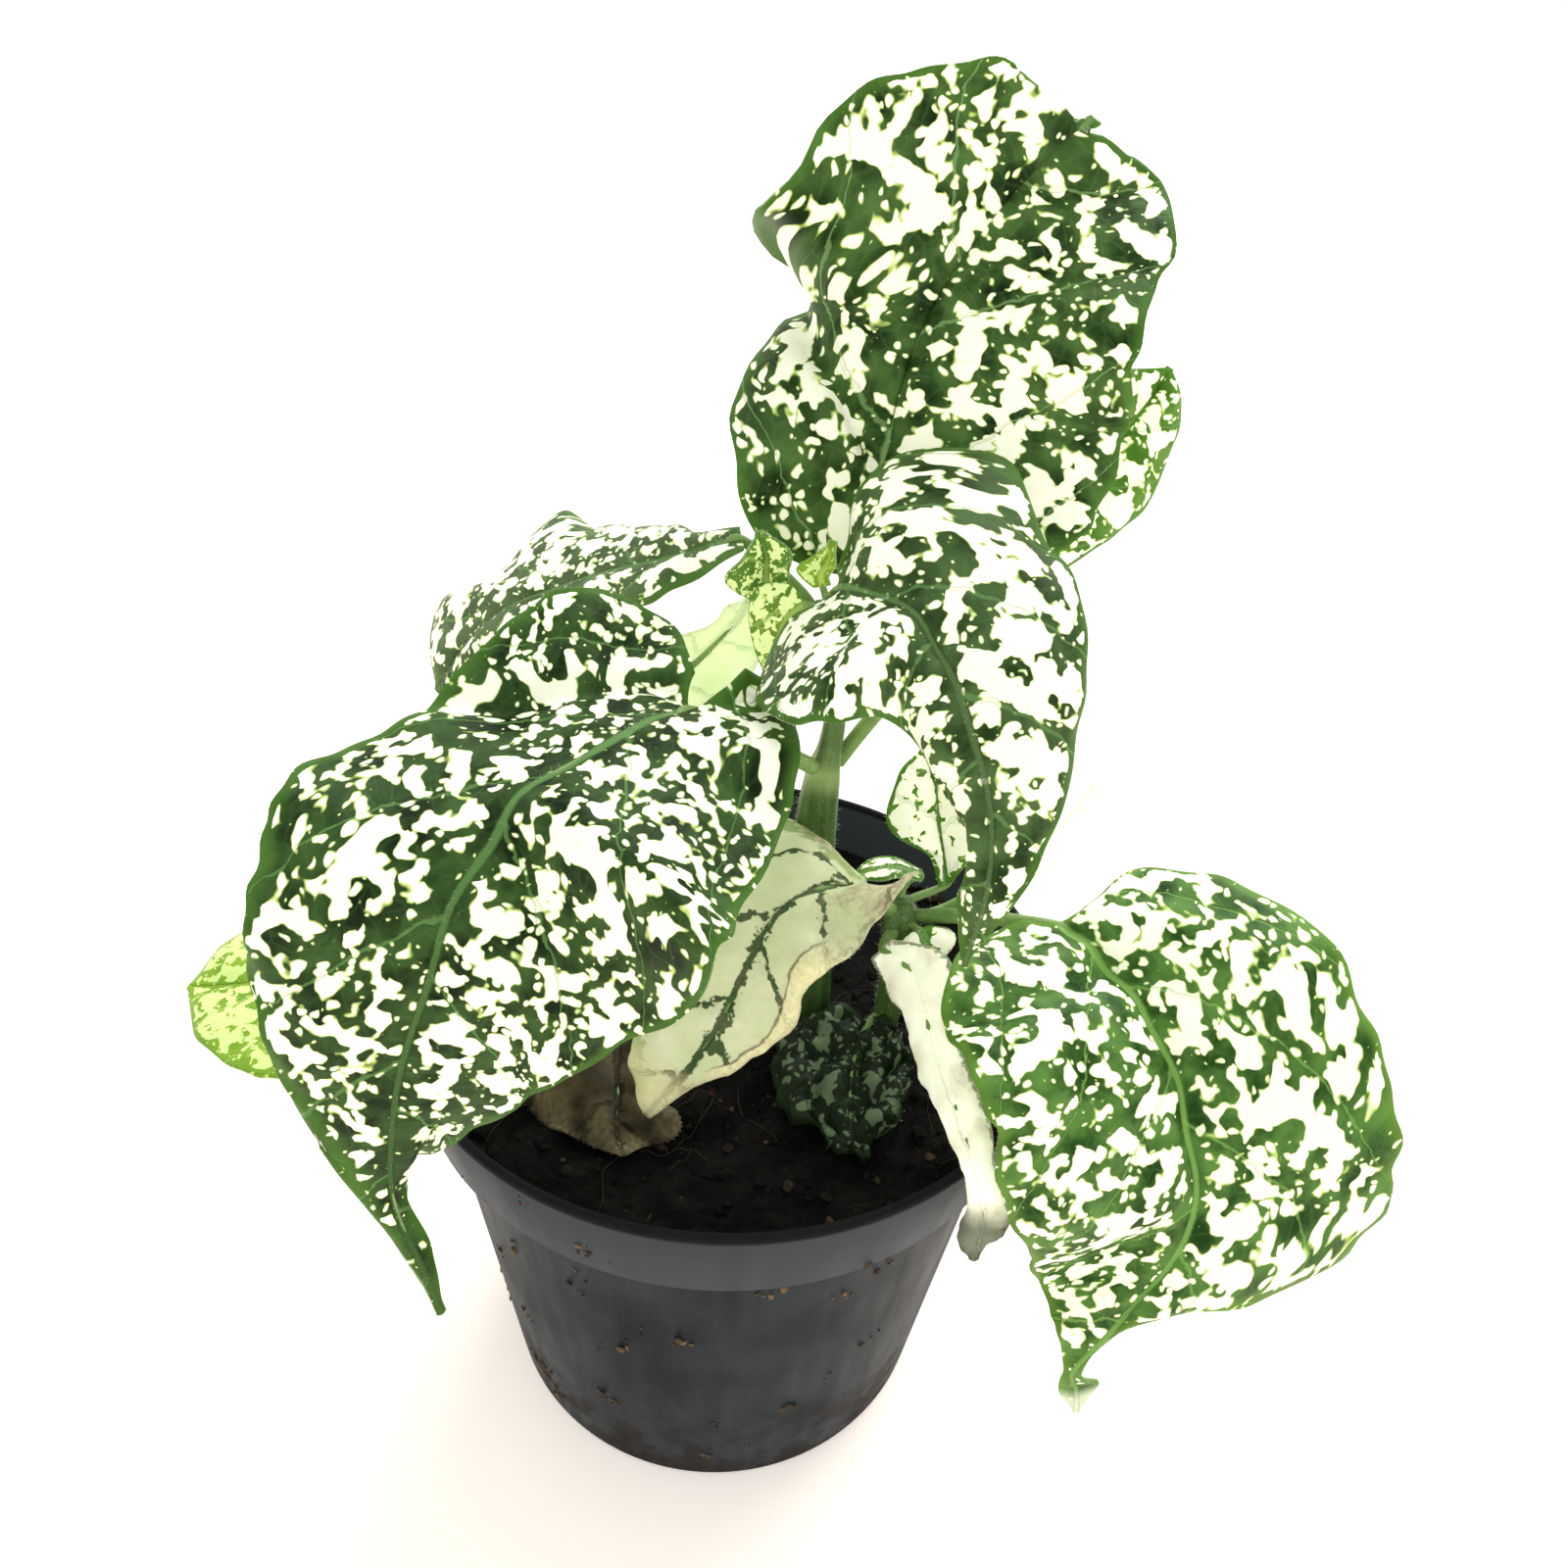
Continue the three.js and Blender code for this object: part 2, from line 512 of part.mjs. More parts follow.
// Thin blade, split into the same triangles on its upper and lower face.
function blade(leaf) {
  const last = leaf.rows.length - 1;
  const rowCount = last * BLADE_ROWS_PER_SPAN;
  const columnCount = 2 * (leaf.columns ?? BLADE_COLUMNS);
  const grid = [];
  for (let i = 0; i <= rowCount; i++) {
    const line = [];
    for (let j = 0; j <= columnCount; j++) {
      line.push(bladePoint(leaf, (i / rowCount) * last, (2 * j) / columnCount - 1));
    }
    grid.push(line);
  }
  const positions = [];
  for (let i = 0; i <= rowCount; i++) {
    for (let j = 0; j <= columnCount; j++) {
      const forward = grid[Math.min(i + 1, rowCount)][j].clone().sub(grid[Math.max(i - 1, 0)][j]);
      const sideways = grid[i][Math.min(j + 1, columnCount)].clone().sub(grid[i][Math.max(j - 1, 0)]);
      const normal = new THREE.Vector3().crossVectors(sideways, forward).normalize();
      for (const offset of [0.5 * BLADE_THICKNESS, -0.5 * BLADE_THICKNESS]) {
        positions.push(...grid[i][j].clone().addScaledVector(normal, offset).toArray());
      }
    }
  }
  const top = (i, j) => 2 * (i * (columnCount + 1) + j);
  const bottom = (i, j) => top(i, j) + 1;
  const triangles = [];
  const quad = (a, b, c, d) => triangles.push(a, b, c, a, c, d);
  for (let i = 0; i < rowCount; i++) {
    for (let j = 0; j < columnCount; j++) {
      quad(top(i, j), top(i, j + 1), top(i + 1, j + 1), top(i + 1, j));
      triangles.push(bottom(i, j), bottom(i + 1, j + 1), bottom(i, j + 1));
      triangles.push(bottom(i, j), bottom(i + 1, j), bottom(i + 1, j + 1));
    }
    quad(top(i, 0), top(i + 1, 0), bottom(i + 1, 0), bottom(i, 0));
    quad(top(i + 1, columnCount), top(i, columnCount), bottom(i, columnCount), bottom(i + 1, columnCount));
  }
  for (let j = 0; j < columnCount; j++) {
    quad(top(0, j + 1), top(0, j), bottom(0, j), bottom(0, j + 1));
    quad(top(rowCount, j), top(rowCount, j + 1), bottom(rowCount, j + 1), bottom(rowCount, j));
  }
  const geometry = new THREE.BufferGeometry();
  geometry.setAttribute('position', new THREE.Float32BufferAttribute(positions, 3));
  geometry.setIndex(triangles);
  return solid(geometry);
}

// Blade with its petiole running on under it as the midrib, kept clear of its stem.
function leafBody(leaf) {
  if (!leaf.stem) return blade(leaf);
  const thick = leaf.petioleRadius ?? PETIOLE_RADIUS;
  const rib = [0, RIB_ROWS / 2, RIB_ROWS].map((u, i) => {
    const foot = bladePoint(leaf, u, 0);
    return [...foot.toArray(), thick * (1 - RIB_TAPER * i)];
  });
  const path = [...leaf.petiole.map((point) => [...point, thick]), ...rib];
  const petiole = tube(path, PETIOLE_STEPS * (path.length - 1), PETIOLE_SIDES);
  return blade(leaf).add(petiole).subtract(stemBody(leaf.stem, FIT_GAP));
}

// Pot: its section turned about the upright axis, with drain holes through the floor.
function potBody() {
  const bandFoot = POT_HEIGHT - BAND_HEIGHT;
  const section = [
    [0, 0],
    [BASE_RADIUS - EDGE_ROUND, 0],
    [BASE_RADIUS, EDGE_ROUND],
    [SHOULDER_RADIUS, bandFoot - STEP_DROP],
    [BAND_FOOT_RADIUS, bandFoot],
    [RIM_RADIUS, POT_HEIGHT - EDGE_ROUND / 2],
    [RIM_RADIUS - EDGE_ROUND / 2, POT_HEIGHT],
    [RIM_RADIUS - WALL, POT_HEIGHT],
    [BAND_FOOT_RADIUS - WALL, bandFoot + FLOOR / 2],
    [SHOULDER_RADIUS - WALL, bandFoot - STEP_DROP],
    [BASE_RADIUS - WALL, FLOOR],
    [0, FLOOR],
  ].map(([r, z]) => new THREE.Vector2(r, z));
  const turned = new THREE.LatheGeometry(section, POT_SIDES);
  turned.rotateX(Math.PI / 2);
  let body = solid(turned);
  for (let i = 0; i < DRAIN_HOLES; i++) {
    const angle = (i / DRAIN_HOLES) * 2 * Math.PI;
    const hole = new THREE.CylinderGeometry(DRAIN_RADIUS, DRAIN_RADIUS, 4 * FLOOR, DRAIN_SIDES);
    hole.rotateX(Math.PI / 2);
    hole.translate(DRAIN_CIRCLE * Math.cos(angle), DRAIN_CIRCLE * Math.sin(angle), 0);
    body = body.subtract(solid(hole));
  }
  return body;
}

// Soil: its own section turned about the upright axis, with the top pushed up and down into lumps.
function soilBody() {
  const bandFoot = POT_HEIGHT - BAND_HEIGHT;
  const edge = BAND_FOOT_RADIUS - WALL - SOIL_CLEAR;
  const section = [
    [0, FLOOR + SOIL_CLEAR],
    [BASE_RADIUS - WALL - SOIL_CLEAR, FLOOR + SOIL_CLEAR],
    [SHOULDER_RADIUS - WALL - SOIL_CLEAR, bandFoot - SOIL_CLEAR],
    [edge, bandFoot + FLOOR / 2 + SOIL_CLEAR],
  ];
  for (let ring = 0; ring <= SOIL_RINGS; ring++) {
    section.push([edge * (1 - ring / SOIL_RINGS), SOIL_TOP]);
  }
  const turned = new THREE.LatheGeometry(section.map(([r, z]) => new THREE.Vector2(r, z)), POT_SIDES);
  turned.rotateX(Math.PI / 2);
  const position = turned.attributes.position;
  for (let i = 0; i < position.count; i++) {
    const [x, y, z] = [position.getX(i), position.getY(i), position.getZ(i)];
    if (z < SOIL_TOP - FIT_GAP) continue;
    const lump = Math.sin(LUMP_PITCH * x) * Math.cos(LUMP_PITCH * y) + Math.sin(LUMP_PITCH * (x - y));
    position.setZ(i, z + SOIL_LUMP * lump);
  }
  let body = solid(turned);
  for (const name of Object.keys(STEMS)) {
    body = body.subtract(stemBody(name, FIT_GAP));
  }
  return body;
}

function finish(color, roughness) {
  return new THREE.MeshStandardMaterial({ color, roughness, metalness: 0 });
}

const plant = new THREE.Group();
plant.name = 'potted_polka_dot_plant';
plant.add(meshOf('pot', potBody(), finish(POT_GREY, POT_ROUGHNESS)));
plant.add(meshOf('soil', soilBody(), finish(SOIL_BROWN, SOIL_ROUGHNESS)));
for (const name of Object.keys(STEMS)) {
  plant.add(meshOf(name, stemBody(name), finish(STEM_GREEN, STEM_ROUGHNESS)));
}
for (const [name, leaf] of Object.entries(LEAVES)) {
  plant.add(meshOf(name, leafBody(leaf), finish(leaf.color ?? LEAF_GREEN, LEAF_ROUGHNESS)));
}

export default plant;
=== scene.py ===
# %% [markdown]
# # A potted polka dot plant, dressed in Blender
# The plant stands in a small nursery pot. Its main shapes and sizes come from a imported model, which is
# loaded first and stays as it is: this lesson lays finer leaves, stems, soil and a smoother pot over it,
# gives each its finish, and lights the whole. Everything is in metres, and a value in millimetres is
# turned into metres with MM.

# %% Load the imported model
import math

import bpy
import numpy as np
from mathutils import Matrix, Vector, noise


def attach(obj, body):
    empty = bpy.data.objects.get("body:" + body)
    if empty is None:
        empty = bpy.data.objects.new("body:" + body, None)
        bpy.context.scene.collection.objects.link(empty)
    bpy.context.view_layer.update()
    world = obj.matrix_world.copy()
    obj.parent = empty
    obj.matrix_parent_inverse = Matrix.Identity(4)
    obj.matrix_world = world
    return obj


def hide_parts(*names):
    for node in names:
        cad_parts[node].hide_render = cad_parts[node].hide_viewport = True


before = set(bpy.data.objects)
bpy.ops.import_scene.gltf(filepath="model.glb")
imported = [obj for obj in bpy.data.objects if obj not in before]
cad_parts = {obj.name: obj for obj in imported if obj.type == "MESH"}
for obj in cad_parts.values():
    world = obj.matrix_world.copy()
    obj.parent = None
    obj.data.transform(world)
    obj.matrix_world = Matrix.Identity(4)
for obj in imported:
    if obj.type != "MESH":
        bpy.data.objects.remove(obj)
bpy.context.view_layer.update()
MM = 0.001
bpy.ops.object.select_all(action="DESELECT")

# %% [markdown]
# ## The camera
# The photograph was taken from close by and above, looking down by a little over a third of a right
# angle. A near camera makes the top leaf look large against the pot, so the distance matters as much as the
# angle. The lens value follows from how wide the view is at that distance.

# %% Camera
CAMERA_PLACE = Vector((5.7, -128.5, 190.3)) * MM
CAMERA_TILT_DOWN = 0.5943
CAMERA_ROLL = 0.0671
SENSOR_WIDTH = 36
LENS = 28.3
bpy.ops.object.camera_add()
camera = bpy.context.object
camera.name = "camera_photo"
camera.data.sensor_width = SENSOR_WIDTH
camera.data.lens = LENS
camera.data.clip_start = 10 * MM
tilt = Matrix.Rotation(math.pi / 2 - CAMERA_TILT_DOWN, 4, "X")
camera.matrix_world = Matrix.Translation(CAMERA_PLACE) @ tilt @ Matrix.Rotation(CAMERA_ROLL, 4, "Z")
bpy.context.scene.camera = camera
print("camera at", [round(v, 3) for v in camera.matrix_world.translation])

# %% [markdown]
# ## Shader helpers
# A finish is built from nodes. Placing a node, setting its values and linking its inputs is the same work
# each time, so small helpers do it: one for any node, one for sums, one for a soft step between two
# levels, one for mixing two colours, and a few for node groups and new materials.


# %% Helpers for shader nodes
def put(tree, kind, inputs=None, **settings):
    """Adds a node, and fills its inputs with values or with links from other nodes."""
    made = tree.nodes.new(kind)
    for name, value in settings.items():
        setattr(made, name, value)
    for key, value in (inputs or {}).items():
        if isinstance(value, bpy.types.NodeSocket):
            tree.links.new(value, made.inputs[key])
        else:
            made.inputs[key].default_value = value
    return made


def calc(tree, operation, *values):
    """A sum such as ADD or MULTIPLY of sockets and numbers."""
    return put(tree, "ShaderNodeMath", dict(enumerate(values)), operation=operation).outputs[0]


def step(tree, value, low, high):
    """0 below low, 1 above high, and a soft step between them."""
    span = {"Value": value, "From Min": low, "From Max": high}
    return put(tree, "ShaderNodeMapRange", span, interpolation_type="SMOOTHSTEP").outputs[0]


def mix(tree, factor, a, b):
    """Colour a where factor is 0 and colour b where it is 1."""
    made = put(tree, "ShaderNodeMix", {0: factor, 6: a, 7: b}, data_type="RGBA")
    return made.outputs[2]


def new_group(name, inputs, outputs):
    """A node group with named sockets. inputs and outputs are lists of (name, kind, value)."""
    tree = bpy.data.node_groups.new(name, "ShaderNodeTree")
    for label, kind, value in inputs:
        socket = tree.interface.new_socket(label, in_out="INPUT", socket_type=f"NodeSocket{kind}")
        if value is not None:
            socket.default_value = value
    for label, kind, _ in outputs:
        tree.interface.new_socket(label, in_out="OUTPUT", socket_type=f"NodeSocket{kind}")
    return tree, tree.nodes.new("NodeGroupInput").outputs, tree.nodes.new("NodeGroupOutput").inputs


def use_group(tree, group, inputs):
    """Places a node group in a material and returns its outputs."""
    made = tree.nodes.new("ShaderNodeGroup")
    made.node_tree = group
    for key, value in inputs.items():
        if isinstance(value, bpy.types.NodeSocket):
            tree.links.new(value, made.inputs[key])
        else:
            made.inputs[key].default_value = value
    return made.outputs


def new_material(name):
    """An empty material with its shader joined to the output."""
    material = bpy.data.materials.new(name)
    material.use_nodes = True
    tree = material.node_tree
    shader = tree.nodes["Principled BSDF"]
    return material, tree, shader


def colour(red, green, blue):
    """A colour given as 0 to 255 on a screen, as the shader wants it."""
    return tuple((v / 255) ** 2.2 for v in (red, green, blue)) + (1.0,)


print("shader helpers ready")

# %% [markdown]
# ## Effects that several finishes share
# Three effects come back in many finishes. Peat, plastic and leaf skin all have an uneven tone, which one
# group gives as a cloudy value. Every leaf has a midrib and side veins, worked out from the distance
# across and along the blade. The white of the leaves is made of ragged patches and of round dots in two
# sizes. All three are held as a distance to their outline in millimetres, so a soft maximum melts them
# together where they meet, as splashes of paint would, and a second, slightly wider outline gives each
# splash its yellowish halo.

# %% Group: cloudy tone
tone_group, g_in, g_out = new_group(
    "cloudy_tone",
    [("Place", "Vector", None), ("Size mm", "Float", 5.0), ("Contrast", "Float", 0.3)],
    [("Tone", "Float", None)],
)
rate = calc(tone_group, "DIVIDE", 1.0, g_in["Size mm"])
cloud = put(tone_group, "ShaderNodeTexNoise", {"Vector": g_in["Place"], "Scale": rate, "Detail": 4.0})
half = calc(tone_group, "MULTIPLY", g_in["Contrast"], 0.5)
low = calc(tone_group, "SUBTRACT", 0.5, half)
high = calc(tone_group, "ADD", 0.5, half)
tone_group.links.new(step(tone_group, cloud.outputs["Fac"], low, high), g_out["Tone"])
print("group:", tone_group.name)

# %% Group: midrib and side veins
VEIN_SLANT = 0.75
VEIN_CURL = 0.02
vein_group, g_in, g_out = new_group(
    "leaf_veins",
    [
        ("Flat mm", "Vector", None),
        ("Spacing mm", "Float", 14.0),
        ("Shift mm", "Float", 3.0),
        ("Length mm", "Float", 60.0),
        ("Raggedness mm", "Float", 0.1),
        ("Rib mm", "Float", 0.75),
    ],
    [
        ("Rib", "Float", None),
        ("Side", "Float", None),
        ("Away mm", "Float", None),
        ("Side mm", "Float", None),
        ("Net", "Float", None),
    ],
)
wander = put(vein_group, "ShaderNodeTexNoise", {"Vector": g_in["Flat mm"], "Scale": 0.35, "Detail": 3.0})
sway = calc(vein_group, "MULTIPLY", calc(vein_group, "SUBTRACT", wander.outputs["Fac"], 0.5), 3.0)
flat = put(vein_group, "ShaderNodeSeparateXYZ", {0: g_in["Flat mm"]}).outputs
away = calc(vein_group, "ABSOLUTE", flat["X"])
slant = calc(vein_group, "ADD", calc(vein_group, "MULTIPLY", away, VEIN_CURL), VEIN_SLANT)
lean = calc(vein_group, "MULTIPLY", away, slant)
right = calc(vein_group, "MULTIPLY", calc(vein_group, "SIGN", flat["X"]), g_in["Shift mm"])
along = calc(vein_group, "ADD", calc(vein_group, "SUBTRACT", flat["Y"], lean), right)
turn = calc(vein_group, "DIVIDE", calc(vein_group, "ADD", along, sway), g_in["Spacing mm"])
off = calc(vein_group, "ABSOLUTE", calc(vein_group, "SUBTRACT", calc(vein_group, "FRACT", turn), 0.5))
off_mm = calc(vein_group, "MULTIPLY", calc(vein_group, "MULTIPLY", off, g_in["Spacing mm"]), 0.72)
rough = put(vein_group, "ShaderNodeTexNoise", {"Vector": g_in["Flat mm"], "Scale": 1.3, "Detail": 2.0})
uneven = calc(vein_group, "SUBTRACT", rough.outputs["Fac"], 0.5)
jag = calc(vein_group, "MULTIPLY", uneven, g_in["Raggedness mm"])
side_width = calc(vein_group, "ADD", calc(vein_group, "MULTIPLY", away, -0.006), 0.3)
side_mm = calc(vein_group, "ADD", off_mm, calc(vein_group, "MULTIPLY", jag, 2.0))
side_share = calc(vein_group, "DIVIDE", side_mm, side_width)
on_side = calc(vein_group, "SUBTRACT", 1.0, step(vein_group, side_share, 0.4, 1.2))
vein_group.links.new(on_side, g_out["Side"])
reach = calc(vein_group, "DIVIDE", flat["Y"], g_in["Length mm"])
narrower = calc(vein_group, "SUBTRACT", 1.0, calc(vein_group, "MULTIPLY", reach, 0.65))
rib_width = calc(vein_group, "MULTIPLY", narrower, g_in["Rib mm"])
rib_mm = calc(vein_group, "ADD", away, calc(vein_group, "MULTIPLY", jag, 2.0))
rib_share = calc(vein_group, "DIVIDE", rib_mm, rib_width)
vein_group.links.new(calc(vein_group, "SUBTRACT", 1.0, step(vein_group, rib_share, 0.45, 1.1)), g_out["Rib"])
vein_group.links.new(rib_mm, g_out["Away mm"])
vein_group.links.new(side_mm, g_out["Side mm"])
cells = put(
    vein_group,
    "ShaderNodeTexVoronoi",
    {"Vector": g_in["Flat mm"], "Scale": 0.42},
    feature="DISTANCE_TO_EDGE",
)
vein_group.links.new(step(vein_group, cells.outputs["Distance"], 0.0, 0.1), g_out["Net"])
print("group:", vein_group.name)

# %% Group: white splashes
splash_group, g_in, g_out = new_group(
    "white_splashes",
    [
        ("Flat mm", "Vector", None),
        ("Keep off", "Float", 0.0),
        ("Seed", "Float", 0.0),
        ("Size", "Float", 1.0),
        ("Cover", "Float", 0.0),
    ],
    [("White", "Float", None), ("Halo", "Float", None)],
)
PATCH = 2.6
PATCH_LEVEL = -0.2
DOT_LAYERS = ((2.1, 0.38, 0.85, 0.35), (1.25, 0.45, 0.46, 0.2))
seed_way = {0: g_in["Seed"], 1: g_in["Seed"], 2: g_in["Seed"]}
shift = put(splash_group, "ShaderNodeCombineXYZ", seed_way).outputs[0]
rate = calc(splash_group, "DIVIDE", 1.0, g_in["Size"])
by_size = {0: g_in["Flat mm"], "Scale": rate}
sized = put(splash_group, "ShaderNodeVectorMath", by_size, operation="SCALE").outputs[0]
moved = put(splash_group, "ShaderNodeVectorMath", {0: sized, 1: shift}, operation="ADD").outputs[0]
ripple_from = {"Vector": moved, "Scale": 0.5, "Detail": 1.0}
ripple = put(splash_group, "ShaderNodeTexNoise", ripple_from).outputs["Color"]
about_zero = {0: ripple, 1: (0.5, 0.5, 0.5)}
centred = put(splash_group, "ShaderNodeVectorMath", about_zero, operation="SUBTRACT").outputs[0]
push = put(splash_group, "ShaderNodeVectorMath", {0: centred, "Scale": 1.8}, operation="SCALE").outputs[0]
place = put(splash_group, "ShaderNodeVectorMath", {0: moved, 1: push}, operation="ADD").outputs[0]
patch_from = {"Vector": place, "Scale": 1 / PATCH, "Detail": 1.0}
patch = put(splash_group, "ShaderNodeTexNoise", patch_from).outputs["Fac"]
region_from = {"Vector": moved, "Scale": 0.08, "Detail": 1.0}
region = put(splash_group, "ShaderNodeTexNoise", region_from).outputs["Fac"]
field = calc(splash_group, "MULTIPLY", calc(splash_group, "SUBTRACT", patch, 0.5), 1.65 * PATCH)
field = calc(splash_group, "ADD", field, calc(splash_group, "SUBTRACT", region, 0.5))
allowed = calc(splash_group, "SUBTRACT", g_in["Cover"], g_in["Keep off"])
field = calc(splash_group, "ADD", calc(splash_group, "ADD", field, PATCH_LEVEL), allowed)
grown = calc(splash_group, "MULTIPLY", field, 0.25)
for cell_mm, left_out, largest, blend in DOT_LAYERS:
    cell = put(
        splash_group,
        "ShaderNodeTexVoronoi",
        {"Vector": place, "Scale": 1 / cell_mm},
        feature="F1",
        voronoi_dimensions="2D",
    ).outputs
    lot = put(splash_group, "ShaderNodeSeparateXYZ", {0: cell["Color"]}).outputs["X"]
    share = calc(splash_group, "DIVIDE", calc(splash_group, "SUBTRACT", lot, left_out), 1 - left_out)
    radius = calc(splash_group, "MULTIPLY", calc(splash_group, "ADD", share, grown), largest)
    radius = calc(splash_group, "MINIMUM", radius, largest)
    dot = calc(splash_group, "SUBTRACT", radius, calc(splash_group, "MULTIPLY", cell["Distance"], cell_mm))
    field = calc(splash_group, "SMOOTH_MAX", field, dot, blend)
splash_group.links.new(step(splash_group, field, -0.03, 0.05), g_out["White"])
splash_group.links.new(step(splash_group, field, -0.12, 0.0), g_out["Halo"])
print("group:", splash_group.name)

# %% [markdown]
# ## Laying a sheet in place
# Leaves, stems and the soil are all sheets: a leaf is a flat one, a stem is one rolled up. Each starts as
# a grid primitive, and its points are then put in place row by row. A rolled sheet has its seam and its
# ends merged, so that it is closed. This gives even, well-shaped faces, which sculpting from a sphere or
# a cube would not.

# %% Helpers for sheets
MERGE = 0.002 * MM


def sheet_from_grid(name, places):
    """A grid primitive whose points are moved to places, an array of rows by columns by 3, in metres."""
    rows, columns = places.shape[0] - 1, places.shape[1] - 1
    bpy.ops.object.select_all(action="DESELECT")
    bpy.ops.mesh.primitive_grid_add(x_subdivisions=columns, y_subdivisions=rows, size=2)
    made = bpy.context.object
    made.name = name
    made.data.name = name
    points = np.empty(len(made.data.vertices) * 3)
    made.data.vertices.foreach_get("co", points)
    points = points.reshape(-1, 3)
    column = np.rint((points[:, 0] + 1) / 2 * columns).astype(int)
    row = np.rint((points[:, 1] + 1) / 2 * rows).astype(int)
    made.data.vertices.foreach_set("co", places[row, column].ravel())
    made.data.update()
    return made, row, column


def close_sheet(made):
    """Merges the seam and the ends of a rolled sheet, and turns its faces outwards."""
    bpy.ops.object.mode_set(mode="EDIT")
    bpy.ops.mesh.select_all(action="SELECT")
    bpy.ops.mesh.remove_doubles(threshold=MERGE)
    bpy.ops.mesh.normals_make_consistent(inside=False)
    bpy.ops.object.mode_set(mode="OBJECT")
    bpy.ops.object.shade_smooth()
    return made


def apply_modifier(made, kind, **settings):
    """Adds a modifier with its settings and applies it."""
    modifier = made.modifiers.new(kind.lower(), kind)
    for name, value in settings.items():
        setattr(modifier, name, value)
    bpy.context.view_layer.objects.active = made
    bpy.ops.object.modifier_apply(modifier=modifier.name)


def join_onto(made, others):
    """Joins other objects onto made, which keeps its name and stays in front."""
    bpy.ops.object.select_all(action="DESELECT")
    for other in others:
        other.select_set(True)
    made.select_set(True)
    bpy.context.view_layer.objects.active = made
    bpy.ops.object.join()


def keep_piece(made, node=None):
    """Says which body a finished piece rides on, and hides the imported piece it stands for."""
    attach(made, "root")
    if node:
        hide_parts(node)
    made.select_set(False)
    return made


def unit(vectors):
    return vectors / np.linalg.norm(vectors, axis=-1, keepdims=True)


def soft_step(value, low, high):
    share = np.clip((value - low) / (high - low), 0, 1)
    return share * share * (3 - 2 * share)


def on_curve(rows, u):
    """A point of the smooth curve through rows of numbers, at u from 0 to the last row's number."""
    last = len(rows) - 1
    k = min(int(u), last - 1)
    t = u - k
    b, c = rows[k], rows[k + 1]
    a = rows[k - 1] if k > 0 else 2 * b - c
    d = rows[k + 2] if k + 2 <= last else 2 * c - b
    return b + 0.5 * t * (c - a + t * (2 * a - 5 * b + 4 * c - d + t * (3 * (b - c) + d - a)))


def tube(name, rows, rings, sides, corner=0.0):
    """A closed tube along rows of x, y, z and radius in mm. corner makes its section four-cornered."""
    rows = np.array(rows, float)
    last = len(rows) - 1
    across = unit(np.array((1.0, 1.0, 0.0)))
    angles = np.linspace(0, 2 * math.pi, sides + 1)
    places = []
    for i in range(rings + 1):
        u = i / rings * last
        row = on_curve(rows, u)
        tangent = unit(on_curve(rows, min(u + 0.02, last))[:3] - on_curve(rows, max(u - 0.02, 0))[:3])
        across = unit(across - across.dot(tangent) * tangent)
        side = np.cross(tangent, across)
        radius = row[3] * (1 + corner * np.cos(4 * angles))
        if i in (0, rings):
            radius = radius * 0
        ring = row[:3] + np.outer(radius * np.cos(angles), across) + np.outer(radius * np.sin(angles), side)
        places.append(ring)
    made, _, _ = sheet_from_grid(name, np.array(places) * MM)
    return close_sheet(made)


print("sheet helpers ready")

# %% [markdown]
# ## Hairs
# The stems, the leaf stalks, the midribs and the edges of the leaves carry short pale hairs, which catch
# the light as a fine fringe. Real hair curves would be lost in an export, so each hair is a thin
# three-sided spike. One spike is made, and its points are copied to every root, turned and stretched
# there.

# %% Helper for hairs
HAIR_RADIUS = 0.022
HAIR_CORNERS = np.array([[1.0, 0, 0], [-0.5, 0.87, 0], [-0.5, -0.87, 0], [0, 0, 1]])


def hairs(name, roots, aims, lengths, dice):
    """One mesh of spikes that stand on roots and point along aims. All in millimetres."""
    count = len(roots)
    aims = unit(unit(aims) + dice.normal(0, 0.28, (count, 3)))
    side = unit(np.cross(aims, unit(dice.normal(0, 1, (count, 3)))))
    other = np.cross(aims, side)
    corners = HAIR_CORNERS * (HAIR_RADIUS, HAIR_RADIUS, 1)
    points = (
        roots[:, None]
        + corners[None, :, 0:1] * side[:, None]
        + corners[None, :, 1:2] * other[:, None]
        + corners[None, :, 2:3] * lengths[:, None, None] * aims[:, None]
    )
    faces = np.array([[0, 1, 3], [1, 2, 3], [2, 0, 3]])
    faces = (faces[None] + 4 * np.arange(count)[:, None, None]).reshape(-1, 3)
    mesh = bpy.data.meshes.new(name)
    mesh.from_pydata((points.reshape(-1, 3) * MM).tolist(), [], faces.tolist())
    made = bpy.data.objects.new(name, mesh)
    bpy.context.scene.collection.objects.link(made)
    made.data.materials.append(hair_skin)
    return made


def hairs_round(rows, count, length, dice, start=0.0, end=1.0):
    """Roots and aims of hairs all round a tube along rows of x, y, z and radius."""
    rows = np.array(rows, float)
    last = len(rows) - 1
    roots, aims = [], []
    for u in dice.uniform(start * last, end * last, count):
        row = on_curve(rows, u)
        tangent = unit(on_curve(rows, min(u + 0.02, last))[:3] - on_curve(rows, max(u - 0.02, 0))[:3])
        aim = dice.normal(0, 1, 3)
        aim = unit(aim - aim.dot(tangent) * tangent)
        roots.append(row[:3] + aim * (row[3] - 0.05))
        aims.append(aim)
    return np.array(roots), np.array(aims), dice.uniform(0.5, 1.2, count) * length


